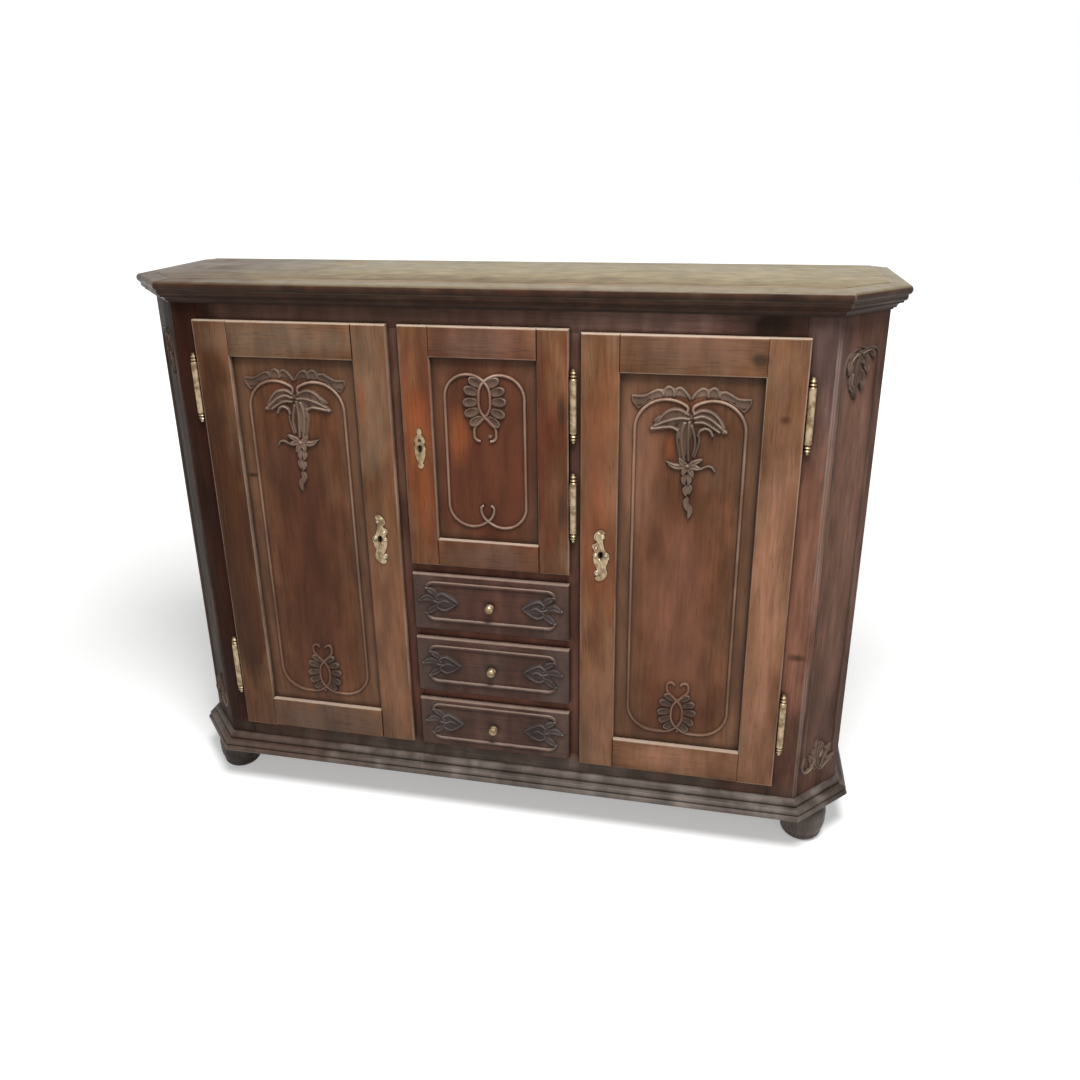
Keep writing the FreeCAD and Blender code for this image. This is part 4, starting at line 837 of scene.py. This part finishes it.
def board_mesh(node, triangles, eased, lip):
    """One solid of a node as a welded mesh, eased at its edges, that knows its grain."""
    solid = bmesh.new()
    for corners in triangles:
        solid.faces.new([solid.verts.new(c) for c in corners])
    bmesh.ops.remove_doubles(solid, verts=solid.verts, dist=5 * WELD)
    bmesh.ops.dissolve_limit(solid, angle_limit=FLAT_ANGLE, verts=solid.verts, edges=solid.edges)
    solid.normal_update()
    axes = board_axes(solid)
    if eased:
        ease(solid, lip)
    mesh = as_mesh(solid, "board")
    places = [axes @ vert.co for vert in mesh.vertices]
    low = Vector(map(min, *places))
    high = Vector(map(max, *places))
    board = (axes, (low + high) / 2, (high - low) / 2, len(BOARDS) * SEED_STEP % SEED_RANGE)
    BOARDS[node, len(BOARDS)] = board
    keep_grain(mesh, *board)
    return mesh


def finished_copy(node, slot, eased=True, lip=None):
    """A welded copy of a node that stands for it, with its own finish."""
    solids = closed_solids(frame["nodes"][node].data)
    mesh = joined([board_mesh(node, solid, eased, lip) for solid in solids], node + "_finished")
    mesh.shade_smooth()
    mesh.set_sharp_from_angle(angle=SMOOTH_ANGLE)
    mesh.materials.append(FINISHES[slot])
    piece = add_piece(node + "_finished", mesh, node)
    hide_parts(node)
    return piece


def add_relief(piece, ground, lower_share=1.0, upper_share=1.0):
    """Keeps on a carved board how far each point stands out of its ground, by a share in each half; this
    sets how much wear and painted highlight its tops take.
    """
    middle = sum(corner[2] for corner in piece.bound_box) / len(piece.bound_box)
    rises = []
    for vert in piece.data.vertices:
        share = upper_share if vert.co.z > middle else lower_share
        rises.append(limited((ground - vert.co.y) / STRING_HEIGHT * share))
    keep(piece.data, "relief", rises)


def mark_frame(piece, *sizes):
    """Keeps a frame's middle, its half size and its opening's half size on one of its pieces."""
    for label, size in zip(FRAME_SIZES, sizes):
        values = list(size) * len(piece.data.vertices)
        keep(piece.data, "frame_" + label.lower(), values, "FLOAT_VECTOR")


def mark_door(piece, door):
    """Marks a piece of a door's frame with the door's size and its opening's."""
    low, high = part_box(door + "_door_stiles")
    panel_low, panel_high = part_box(door + "_door_panel")
    tongue = Vector((PANEL_TONGUE, 0, PANEL_TONGUE))
    mark_frame(piece, (low + high) / 2, (high - low) / 2, (panel_high - panel_low) / 2 - tongue)


def mark_front(piece):
    """Marks a piece of the carcass so that only the right front corner is rubbed."""
    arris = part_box("right_corner_stile")[1].x
    mark_frame(piece, (arris - FAR, 0, 0), (FAR, FAR, FAR), (-FAR, -FAR, -FAR))


def dress_nodes():
    """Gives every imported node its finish."""
    for part in frame["record"]["subparts"]:
        node = part["node"]
        slot = part["material_slot"]
        door = node.split("_door_")[0]
        eased = node not in UNEASED and not node.endswith(UNEASED_ENDS)
        lip = None
        if slot == "door_frame_wood":
            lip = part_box(door + "_door_stiles")
        elif slot == "drawer_wood":
            low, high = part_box(node)
            lip = (Vector((low.x, DRAWER_GROUND, low.z)), high)
        piece = finished_copy(node, slot, eased, lip)
        if slot == "door_frame_wood":
            mark_door(piece, door)
        elif slot == "carcass_wood":
            mark_front(piece)
        elif slot == "panel_wood":
            add_relief(piece, PANEL_GROUND, 1.0 if door == "centre" else LOWER_STRING_WEAR_AND_HIGHLIGHT)
        elif slot == "drawer_wood":
            add_relief(piece, DRAWER_GROUND, upper_share=UPPER_STRING_WEAR_AND_HIGHLIGHT)


# Carving: strokes laid on a flat ground, in millimetres across and up from the motif's own middle

class Ground:
    """A flat face that is carved: its node, the motif's middle, and its directions across, up and out."""

    def __init__(self, node, middle, across=(1, 0, 0), hand=1):
        self.node = node
        self.middle = Vector(middle)
        self.across = Vector(across)
        self.up = Vector((0, 0, 1))
        self.out = self.across.cross(self.up)
        self.hand = hand

    def place(self, spot, rise=0.0):
        """The point in the cabinet for a spot of the motif and a rise over the face."""
        return self.middle + (self.across * spot[0] + self.up * spot[1] + self.out * rise) * MM


def smooth_line(points):
    """A smooth line through the points, as a close row of points."""
    knots = np.array([points[0], *points, points[-1]], float)
    share = np.linspace(0, 1, LINE_STEPS, endpoint=False)[:, None]
    spans = []
    for before, start, end, after in zip(knots, knots[1:], knots[2:], knots[3:]):
        bend = 2 * before - 5 * start + 4 * end - after
        twist = 3 * start - 3 * end + after - before
        spans.append(start + ((end - before) * share + bend * share ** 2 + twist * share ** 3) / 2)
    return np.concatenate(spans + [knots[-1:]])


def sided(points, side):
    """Points as they are, or mirrored for a side of -1."""
    return [(side * across, up) for across, up in points]


class Relief:
    """Heights over a grid on a ground; of the strokes laid on it, the highest one shows."""

    def __init__(self, ground, low, high, cell=RELIEF_CELL):
        self.ground = ground
        sides = sorted((low[0] * ground.hand, high[0] * ground.hand))
        self.across = np.arange(sides[0], sides[1], cell)
        self.up = np.arange(low[1], high[1], cell)
        self.height = np.full((len(self.up), len(self.across)), -RELIEF_SUNK)

    def lay(self, points, reach, profile):
        """Lays a stroke on the points; profile gives its height from the share along and the side step."""
        line = smooth_line(sided(points, self.ground.hand))
        low = line.min(0) - reach
        high = line.max(0) + reach
        columns = slice(*np.searchsorted(self.across, (low[0], high[0])))
        rows = slice(*np.searchsorted(self.up, (low[1], high[1])))
        spots = np.stack(np.meshgrid(self.across[columns], self.up[rows]), -1)
        runs = np.diff(line, axis=0)
        lengths = np.hypot(*runs.T)
        travelled = np.concatenate(([0.0], np.cumsum(lengths)))
        away = spots[:, :, None] - line[:-1]
        along = np.clip((away * runs).sum(-1) / lengths ** 2, 0, 1)
        gap = away - along[..., None] * runs
        distance = np.hypot(gap[..., 0], gap[..., 1])
        nearest = distance.argmin(-1)[..., None]
        turn = np.where(runs[:, 0] * gap[..., 1] < runs[:, 1] * gap[..., 0], -1, 1)
        share = (travelled[:-1] + along * lengths) / travelled[-1]
        share, side = (np.take_along_axis(a, nearest, -1)[..., 0] for a in (share, distance * turn))
        height = np.clip(profile(share, side * self.ground.hand), -RELIEF_SUNK, None)
        self.height[rows, columns] = np.maximum(self.height[rows, columns], height)

    def rib(self, points, start, end, rise):
        """A rounded rib whose width goes from start to end."""
        def profile(share, side):
            half = (start + (end - start) * share) / 2
            return rise * (half / max(start, end) * 2) ** 0.5 * (1 - (side / half) ** 2)
        self.lay(points, max(start, end), profile)

    def leaf(self, points, width, rise, cup=0.5, vein=0.0, lobes=0, notch=0.3, full=0.75, lift=0.4):
        """A leaf on a mid line: cup hollows it, vein cuts it, lobes notch its edge, lift raises its tip."""
        def profile(share, side):
            body = np.sin(np.pi * np.clip(share, 0.03, 0.985) ** full) ** 0.7
            wave = np.abs(np.sin(np.pi * (lobes * share + 0.25 * np.abs(side) / width))) if lobes else 1.0
            half = width / 2 * body * (1 - notch * (1 - wave)) + 0.2
            place = np.abs(side) / half
            form = (1 - place ** 4) * (1 - cup + cup * (0.35 + 1.1 * place ** 2))
            groove = vein * np.exp(-(side / LEAF_VEIN) ** 2)
            flute = 0.75 + 0.25 * wave if lobes else 1.0
            return rise * (1 - lift / 2 + lift * share) * (form * flute - groove * (place < 1))
        self.lay(points, width, profile)

    def bead(self, spot, radius, rise):
        """A round bead."""
        self.rib([spot, (spot[0] + 0.1, spot[1])], 2 * radius, 2 * radius, rise)

    def build(self, name, slot):
        """Makes the carving a closed piece that rides with its board."""
        solid = self.height > -RELIEF_FOOT
        cells = solid[:-1, :-1] | solid[1:, :-1] | solid[:-1, 1:] | solid[1:, 1:]
        self.close_corners(cells)
        rows, columns = np.nonzero(cells)
        width = len(self.across)
        corner = rows * width + columns
        tops = np.stack((corner, corner + 1, corner + 1 + width, corner + width), -1)
        used, tops = np.unique(tops, return_inverse=True)
        tops = tops.reshape(-1, 4)
        edges = np.stack((tops, np.roll(tops, -1, 1)), -1).reshape(-1, 2)
        backs = {tuple(edge[::-1]) for edge in edges.tolist()}
        rims = np.array([edge for edge in edges.tolist() if tuple(edge) not in backs])
        count = len(used)
        walls = np.stack((rims[:, 1], rims[:, 0], rims[:, 0] + count, rims[:, 1] + count), -1)
        faces = np.concatenate((tops, tops[:, ::-1] + count, walls))
        spots = np.stack((self.across[used % width], self.up[used // width]), -1)
        height = self.height[used // width, used % width]
        points = [self.ground.place(spot, rise) for spot, rise in zip(spots, height)]
        points += [self.ground.place(spot, -RELIEF_ROOT) for spot in spots]
        mesh = bpy.data.meshes.new(name)
        mesh.from_pydata(points, [], faces.tolist())
        add_carving(name, mesh, self.ground, slot)

    @staticmethod
    def close_corners(cells):
        """Fills the cells beside two that meet only at a corner, so that the piece is one closed skin."""
        changed = True
        while changed:
            first = cells[:-1, :-1] & cells[1:, 1:] & ~cells[1:, :-1] & ~cells[:-1, 1:]
            second = ~cells[:-1, :-1] & ~cells[1:, 1:] & cells[1:, :-1] & cells[:-1, 1:]
            cells[1:, :-1] |= first
            cells[:-1, :-1] |= second
            changed = first.any() or second.any()


def add_carving(name, mesh, ground, slot):
    """Gives a carved mesh its board's grain, its height over the ground and its finish, and adds it."""
    keep_grain(mesh, *next(board for key, board in BOARDS.items() if key[0] == ground.node))
    heights = [(v.co - ground.middle).dot(ground.out) / CARVING_RISE for v in mesh.vertices]
    keep(mesh, "relief", [limited(height) for height in heights])
    mesh.shade_smooth()
    mesh.materials.clear()
    mesh.materials.append(CARVED_FINISHES[slot])
    add_piece(name, mesh, ground.node)


# Rows of petals: the shells at the knots

def petal_object():
    """One hollow petal with a raised rim, a unit long, wide and high, its foot sunk under the ground."""
    skin = bmesh.new()
    rings = []
    for share, rise in PETAL_RINGS:
        ring = []
        for index in range(PETAL_POINTS):
            angle = 2 * math.pi * index / PETAL_POINTS
            ahead = 0.5 + 0.5 * math.cos(angle)
            aside = 0.5 * math.sin(angle) * (1 - PETAL_PINCH * (1 - ahead))
            along = PETAL_HEART + (ahead - PETAL_HEART) * share
            height = rise * (PETAL_ROOT_RISE + (1 - PETAL_ROOT_RISE) * along)
            ring.append(skin.verts.new((along, aside * share, height)))
        rings.append(ring)
    for outer, inner in zip(rings, rings[1:]):
        for index in range(PETAL_POINTS):
            after = (index + 1) % PETAL_POINTS
            skin.faces.new((outer[index], outer[after], inner[after], inner[index]))
    skin.faces.new(rings[-1])
    skin.faces.new(rings[0][::-1])
    return add_object("petal", as_mesh(skin, "petal"))


def petal_row_tree():
    """Petals of one size set along a path, each turned from it by an uneven lean."""
    tree = bpy.data.node_groups.new("petal_row", "GeometryNodeTree")
    sockets = (("Path", "Geometry"), ("Petal", "Object"), ("Count", "Int"), ("Out", "Vector"),
               ("Lean", "Float"), ("Size", "Vector"), ("Unevenness", "Float"), ("Seed", "Int"),
               ("Finish", "Material"))
    for label, kind in sockets:
        tree.interface.new_socket(label, in_out="INPUT", socket_type="NodeSocket" + kind)
    tree.interface.new_socket("Petals", in_out="OUTPUT", socket_type="NodeSocketGeometry")
    entry = tree.nodes.new("NodeGroupInput").outputs
    path = {"Curve": entry["Path"], "Count": entry["Count"]}
    points = step(tree, "GeometryNodeCurveToPoints", path, mode="COUNT").outputs
    axes = {"Primary Axis": entry["Out"], "Secondary Axis": points["Tangent"]}
    facing = step(tree, "FunctionNodeAxesToRotation", axes, primary_axis="Z", secondary_axis="X")
    limits = {2: times(tree, entry["Unevenness"], -1.0), 3: entry["Unevenness"], "Seed": entry["Seed"]}
    sway = step(tree, "FunctionNodeRandomValue", limits, data_type="FLOAT").outputs[1]
    lean = {"Axis": (0, 0, 1), "Angle": sums(tree, "ADD", entry["Lean"], sway)}
    turn = step(tree, "FunctionNodeAxisAngleToRotation", lean)
    turns = {"Rotation": facing.outputs[0], "Rotate By": turn.outputs[0]}
    turned = step(tree, "FunctionNodeRotateRotation", turns, rotation_space="LOCAL")
    shape = step(tree, "GeometryNodeObjectInfo", {"Object": entry["Petal"]}).outputs["Geometry"]
    places = {"Points": points["Points"], "Instance": shape, "Rotation": turned.outputs[0],
              "Scale": entry["Size"]}
    petals = step(tree, "GeometryNodeInstanceOnPoints", places)
    plain = step(tree, "GeometryNodeRealizeInstances", {"Geometry": petals.outputs[0]})
    finish = {"Geometry": plain.outputs[0], "Material": entry["Finish"]}
    done = step(tree, "GeometryNodeSetMaterial", finish)
    leave = tree.nodes.new("NodeGroupOutput")
    tree.links.new(done.outputs[0], leave.inputs["Petals"])
    return tree


def petal_row(ground, slot, path, lean, size):
    """One row of petals on a ground, as a plain mesh."""
    curve = bpy.data.curves.new("petal_path", "CURVE")
    curve.dimensions = "3D"
    spline = curve.splines.new("POLY")
    line = smooth_line(sided(path, ground.hand))
    spline.points.add(len(line) - 1)
    for point, spot in zip(spline.points, line):
        point.co = (*ground.place(spot), 1)
    row = add_object("petal_row", curve)
    modifier = row.modifiers.new("petals", "NODES")
    modifier.node_group = PETAL_ROW
    values = {"Petal": PETAL, "Count": SHELL_LOBES, "Out": tuple(ground.out),
              "Lean": math.radians(lean) * ground.hand, "Size": tuple(s * MM for s in size),
              "Unevenness": math.radians(PETAL_SWAY), "Seed": SHELL_SEED, "Finish": FINISHES[slot]}
    for socket in PETAL_ROW.interface.items_tree:
        if socket.in_out == "INPUT" and socket.name in values:
            modifier[socket.identifier] = values[socket.name]
    seen = row.evaluated_get(bpy.context.evaluated_depsgraph_get())
    mesh = bpy.data.meshes.new_from_object(seen)
    bpy.data.objects.remove(row)
    bpy.data.curves.remove(curve)
    return mesh


PETAL = petal_object()
PETAL_ROW = petal_row_tree()


def tall_head(name, ground):
    """Two drooping leaves, a stem, a bow, a drop of husks and the crests over the arches."""
    work = Relief(ground, (-96, -170), (96, 66))
    right_leaf(work)
    left_leaf(work)
    work.leaf([(-6, 2), (-9, -28), (-8, -64)], 26, 3.0, cup=0.2, full=0.55)
    work.rib([(-17, -14), (-19, -26), (-17, -42), (-13, -60)], 7.0, 5.5, 4.2)
    work.rib([(-8, -4), (-12, -20), (-11, -40), (-7, -64)], 10.0, 7.5, 5.2)
    work.rib([(-1, -2), (-2, -26), (0, -64)], 8.0, 6.0, 4.8)
    work.rib([(3, -8), (8, -26), (9, -40), (6, -56)], 6.5, 5.0, 4.4)
    work.rib([(14, -21), (15, -32), (13, -44), (9, -58)], 5.5, 4.5, 4.0)
    bow_and_drop(work)
    for side in (-1, 1):
        crest(work, side)
    work.build(name + "_head_leaves", "panel_wood")


def right_leaf(work):
    """The leaf under the right arch: a hollow body, a curled tip and a hooked lower lobe."""
    body = [(2, 6), (18, 8), (34, 2), (46, -7), (55, -15)]
    work.leaf(body, 28, 3.2, cup=0.4, lobes=3, notch=0.12, full=0.8, lift=0.5)
    work.rib([(6, 11), (17, 17), (31, 15), (43, 5), (51, -9)], 7.0, 7.5, 4.6)
    work.rib([(7, 5), (19, 8), (32, 3), (46, -8), (55, -16)], 7.5, 8.0, 5.0)
    work.rib([(8, -2), (21, -2), (34, -9), (45, -16)], 6.5, 7.0, 4.6)
    work.bead((52, -15), 5.0, 5.4)
    work.rib([(13, -23), (16, -15), (24, -11), (31, -14), (35, -22)], 5.5, 7.0, 5.4)


def left_leaf(work):
    """The leaf under the left arch, broader, with two rows of lobes and a hook beside the stem."""
    body = [(-4, 3), (-18, 6), (-34, 2), (-46, -4), (-56, -12)]
    work.leaf(body, 30, 3.2, cup=0.4, lobes=3, notch=0.2, full=0.8)
    work.rib([(-3, 10), (-16, 17), (-30, 16), (-41, 8), (-48, -3)], 7.0, 7.5, 4.2)
    work.rib([(-2, 3), (-14, 4), (-28, 1), (-42, -4), (-54, -10)], 7.5, 8.0, 4.6)
    work.leaf([(-56, -2), (-50, 0), (-42, 6)], 8, 4.4, cup=0.3)
    work.rib([(-16, -28), (-18, -17), (-28, -11), (-42, -12), (-59, -15)], 6.0, 8.0, 5.4)
    work.bead((-57, -14), 4.6, 5.4)


def bow_and_drop(work):
    """The star-shaped bow under the stem, and three pairs of husks hanging from it."""
    heart = (-1, -74)
    petals = (((-20, -75), (-34, -67), 11), ((-10, -68), (-14, -60), 11), ((12, -66), (22, -61), 10),
              ((10, -75), (20, -77), 12), ((-6, -82), (-8, -90), 11), ((5, -84), (9, -92), 11))
    for bend, tip, width in petals:
        work.leaf([heart, bend, tip], width, 5.2, cup=0.3, vein=0.12)
    work.rib([(20, -77), (30, -72), (37, -74), (41, -80)], 3.4, 4.4, 4.6)
    work.bead(heart, 5, 5.8)
    husks = ((-6, -97, 17, 1), (3, -96, 17, -1), (-3, -115, 18, 1), (4, -112, 18, -1), (-1, -137, 24, 1),
             (6, -150, 24, -1))
    for across, up, long, lean in husks:
        top = (across + 2.5 * lean, up + long / 2)
        tip = (across + 2.5 * lean, up - long / 2)
        work.leaf([top, (across, up), tip], 10.5, 5.2, cup=0.2, vein=0.12)


def crest(work, side):
    """The scalloped crest over one arch, which ends in a small three-cornered leaf."""
    ribs = (
        ([(2, 36), (5, 41), (12, 49), (18, 52), (23, 49), (24, 41)], 5.4, 4.2, 4.0),
        ([(26, 39), (27, 48), (33, 53), (39, 50), (41, 41)], 5.2, 4.2, 4.0),
        ([(43, 40), (45, 46), (52, 47), (60, 43), (72, 37), (89, 37)], 5.2, 4.0, 3.8),
        ([(89, 37), (89, 29), (80, 17)], 4.6, 3.6, 3.4),
        ([(80, 17), (70, 25), (58, 32)], 2.4, 2.8, 2.4),
    )
    work.leaf(sided([(3, 38), (20, 45), (44, 42), (66, 36), (88, 35)], side), 14, 1.8)
    for points, start, end, rise in ribs:
        work.rib(sided(points, side), start, end, rise)
    work.leaf(sided([(87, 34), (80, 27), (66, 31)], side), 10, 1.6)


def knot_shells(name, ground, reach, lobe, bead):
    """The fluted shell lobes at both sides of a knot, and the bead under it."""
    path = [(across, reach * share) for across, share in SHELL_PATH]
    rows = [petal_row(ground, "panel_wood", sided(path, side), SHELL_LEAN * side, lobe) for side in (1, -1)]
    add_carving(name, joined(rows, name), ground, "panel_wood")
    low = (bead[0] - BEAD_ROOM, bead[1] - BEAD_ROOM)
    high = (bead[0] + BEAD_ROOM, bead[1] + BEAD_ROOM)
    work = Relief(ground, low, high)
    work.bead(bead, BEAD_RADIUS, BEAD_RISE)
    work.build(name + "_bead", "panel_wood")


def cant_carving(name, ground, head, foot):
    """Two upright strings on a cant, a drooping leaf between their scrolled heads, a leaf at their feet."""
    def raised(points, up):
        return [(across, along + up) for across, along in points]
    head_leaves = (
        ([(-12, 12), (-17, -18), (-12, -58)], 34, 4.4, 4),
        ([(-10, 14), (4, 2), (10, -22)], 20, 5.4, 3),
        ([(-16, 12), (-28, 2), (-33, -18)], 17, 5.4, 2),
        ([(-4, 12), (14, 14), (26, 0)], 14, 4.8, 2),
        ([(-4, -14), (2, -30), (0, -46)], 15, 5.8, 2),
        ([(-24, -18), (-24, -34), (-14, -50)], 14, 5.8, 2),
    )
    foot_leaves = (
        ([(0, -22), (-6, 8), (-9, 44)], 36, 4.4, 4),
        ([(2, -18), (12, 2), (26, 20)], 24, 5.6, 3),
        ([(2, -22), (18, -16), (37, -6)], 21, 5.6, 2),
        ([(-2, -20), (-17, -2), (-28, 16)], 21, 5.6, 3),
        ([(-2, 6), (4, 18), (2, 34)], 15, 6.0, 2),
    )
    work = Relief(ground, (-53, foot - 40), (53, head + 40))
    for across in (-41, 38):
        work.rib([(across, foot + 14), (across, head - 12)], 5, 5, 3.2)
    work.rib(raised([(38, -14), (37, 2), (29, 15), (12, 19), (-4, 20)], head), 5, 4, 3.0)
    work.rib(raised([(-41, -14), (-38, 2), (-28, 13), (-14, 19), (-8, 14)], head), 5, 4, 3.0)
    for up, leaves in ((head, head_leaves), (foot, foot_leaves)):
        for points, width, rise, lobes in leaves:
            line = raised(points, up)
            work.leaf(line, width, rise, cup=0.75, lobes=lobes, notch=0.42)
            work.rib(line, 3.6, 2.2, rise + 0.6)
    work.rib(raised([(-41, 16), (-45, -2), (-36, -16), (-22, -14), (-16, -2)], foot), 5, 8, 5.4)
    work.rib(raised([(38, 16), (40, -2), (34, -12)], foot), 5, 4, 3.0)
    work.build(name, "carcass_wood")


def drawer_fans(name, ground):
    """A pointed leaf that opens into curls at each end of a drawer front."""
    ribs = (
        ([(58, 3), (72, 13), (86, 19), (96, 13), (94, 7)], 5.0, 6.0, 4.4),
        ([(58, 3), (70, -7), (84, -13), (95, -7), (93, -1)], 5.0, 6.0, 4.2),
        ([(74, 3), (82, 6), (90, 2), (100, 4)], 5.0, 6.5, 4.4),
    )
    lobes = (
        ([(92, 14), (103, 22), (113, 29)], 14),
        ([(98, 6), (113, 9), (127, 4)], 15),
        ([(92, -5), (105, -13), (115, -21)], 14),
    )
    work = Relief(ground, (-134, -36), (134, 44))
    for side in (-1, 1):
        work.leaf(sided([(57, 3), (80, 5), (108, 4)], side), 36, 2.4, cup=0.3, full=1.1)
        for points, start, end, rise in ribs:
            work.rib(sided(points, side), start, end, rise)
        for points, width in lobes:
            line = sided(points, side)
            work.leaf(line, width, 4.6, cup=0.45, vein=0.2, full=1.0)
            work.bead(line[-1], 3.6, 5.2)
    work.build(name + "_leaves", "drawer_wood")


def plate_relief(name, ground):
    """The bosses, curls and spine cast on a keyhole plate, from its keyhole."""
    bosses = (((-9.0, 0.5), 4.2), ((8.6, -1.5), 3.8), ((-2.5, 32), 4.2), ((6, -34), 4.8), ((7.5, 12), 3.0))
    work = Relief(ground, (-17, -46), (17, 46), PLATE_CELL)
    for spot, radius in bosses:
        work.bead(spot, radius, PLATE_RISE)
    work.rib([(-2, 34), (4, 38), (7, 31), (3, 22), (-2, 11)], 4.0, 5.0, 1.5)
    work.rib([(2, -10), (-3, -20), (-2, -31), (4, -36), (7, -32)], 5.0, 4.0, 1.5)
    work.build(name, "brass")


def carve_door(name, hand):
    """The motifs of one door's panel: a knot with shells, and on a tall door a head of leaves."""
    node = name + "_door_panel"
    low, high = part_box(node)
    middle = Vector(((low.x + high.x) / 2, low.y + STRING_HEIGHT, 0))
    top = high.z - PANEL_TONGUE
    foot = low.z + PANEL_TONGUE
    if name == "centre":
        knot = Ground(node, middle + Vector((0, 0, top - CENTRE_KNOT_DROP)))
        knot_shells(name + "_door_shells", knot, *CENTRE_SHELLS)
    else:
        tall_head(name + "_door", Ground(node, middle + Vector((0, 0, top - HEAD_DROP)), hand=hand))
        knot = Ground(node, middle + Vector((0, 0, foot + KNOT_RISE)), hand=hand)
        knot_shells(name + "_door_shells", knot, *TALL_SHELLS)


def carve_drawer(name):
    """The leaves at both ends of one drawer's front."""
    node = name + "_drawer_front"
    low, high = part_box(node)
    middle = Vector(((low.x + high.x) / 2, low.y + STRING_HEIGHT, (low.z + high.z) / 2))
    drawer_fans(name + "_drawer", Ground(node, middle))


def carve_cant(name, hand):
    """The leaves and strings of one canted corner, whose face runs at 45 degrees from the front."""
    node = name + "_cant_panel"
    low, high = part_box(node)
    stile_low, stile_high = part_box(name + "_corner_stile")
    arris = max(abs(stile_low.x), abs(stile_high.x))
    run = max(abs(low.x), abs(high.x)) - arris
    middle = (hand * (arris + run / 2), stile_low.y + run / 2, low.z)
    slope = math.sqrt(0.5)
    ground = Ground(node, middle, across=(slope, hand * slope, 0), hand=hand)
    cant_carving(name + "_cant_leaves", ground, CANT_HEAD_RISE, CANT_FOOT_RISE)


def carve_cabinet():
    """All carved motifs, placed from the boards that carry them."""
    for name, hand in DOOR_HANDS.items():
        carve_door(name, hand)
    for name in DRAWERS:
        carve_drawer(name)
    for name, hand in (("left", 1), ("right", -1)):
        plate_relief(name + "_plate_bosses", Ground(name + "_escutcheon", keyhole(name), hand=hand))
    for name, hand in (("left", -1), ("right", 1)):
        carve_cant(name, hand)
    bpy.data.objects.remove(PETAL)


dress_nodes()
carve_cabinet()


# Floor, light and camera

def backdrop_share(tree):
    """1 for what the camera sees straight, in a mirror or through glass."""
    path = tree.nodes.new("ShaderNodeLightPath").outputs
    seen = sums(tree, "MAXIMUM", path["Is Camera Ray"], path["Is Glossy Ray"])
    return sums(tree, "MAXIMUM", seen, path["Is Transmission Ray"])


def make_floor():
    """A plain pale floor that reads as white and keeps the shadow."""
    mesh = bpy.data.meshes.new("floor")
    corners = [(x * FLOOR_SIDE, y * FLOOR_SIDE, 0) for x, y in ((-1, -1), (1, -1), (1, 1), (-1, 1))]
    mesh.from_pydata(corners, [], [(0, 1, 2, 3)])
    material = bpy.data.materials.new("pale_floor")
    tree = empty_tree(material)
    matt = step(tree, "ShaderNodeBsdfDiffuse", {"Color": FLOOR_COLOUR})
    away = ramp(tree, length(tree, object_place(tree)), *FLOOR_GLOW_REACH)
    level = times(tree, backdrop_share(tree), scaled(tree, away, 1 - FLOOR_GLOW, FLOOR_GLOW))
    glow = step(tree, "ShaderNodeEmission", {"Strength": level})
    both = step(tree, "ShaderNodeAddShader", {0: matt.outputs[0], 1: glow.outputs[0]})
    step(tree, "ShaderNodeOutputMaterial", {"Surface": both.outputs[0]})
    mesh.materials.append(material)
    add_object("floor", mesh)


def make_world():
    """Even pale light all round, seen as white."""
    world = bpy.data.worlds.new("studio")
    bpy.context.scene.world = world
    tree = empty_tree(world)
    dim = step(tree, "ShaderNodeBackground", {"Color": WORLD_COLOUR, "Strength": WORLD_STRENGTH})
    white = step(tree, "ShaderNodeBackground", {"Color": WHITE, "Strength": 1.0})
    shares = {0: backdrop_share(tree), 1: dim.outputs[0], 2: white.outputs[0]}
    mixed = step(tree, "ShaderNodeMixShader", shares)
    step(tree, "ShaderNodeOutputWorld", {"Surface": mixed.outputs[0]})


def make_lamp(name, place, aim, side, power):
    """A square soft light pointed at a place."""
    light = bpy.data.lights.new(name, "AREA")
    light.size = side
    light.energy = power
    lamp = add_object(name, light)
    lamp.location = place
    lamp.rotation_mode = "QUATERNION"
    lamp.rotation_quaternion = (Vector(aim) - Vector(place)).to_track_quat("-Z", "Y")


def make_camera():
    """The camera at the photograph's place and angle."""
    turn, tilt, roll = (math.radians(a) for a in (CAMERA_TURN, CAMERA_TILT, CAMERA_ROLL))
    ahead = Vector((math.sin(turn) * math.cos(tilt), math.cos(turn) * math.cos(tilt), -math.sin(tilt)))
    level = Vector((math.cos(turn), -math.sin(turn), 0))
    upright = level.cross(ahead)
    right = level * math.cos(roll) + upright * math.sin(roll)
    up = upright * math.cos(roll) - level * math.sin(roll)
    lens = bpy.data.cameras.new("camera")
    lens.sensor_width = SENSOR_WIDTH
    lens.lens = FOCAL_PIXELS * SENSOR_WIDTH / PICTURE_SIDE
    lens.shift_x = 0.5 - AXIS_PIXEL[0] / PICTURE_SIDE
    lens.shift_y = AXIS_PIXEL[1] / PICTURE_SIDE - 0.5
    camera = add_object("camera", lens)
    turned = Matrix((right, up, -ahead)).transposed()
    camera.matrix_world = Matrix.Translation(CAMERA_PLACE) @ turned.to_4x4()
    bpy.context.scene.camera = camera


make_floor()
make_world()
for lamp_values in LAMPS:
    make_lamp(*lamp_values)
make_camera()
bpy.context.scene.view_settings.view_transform = "Standard"
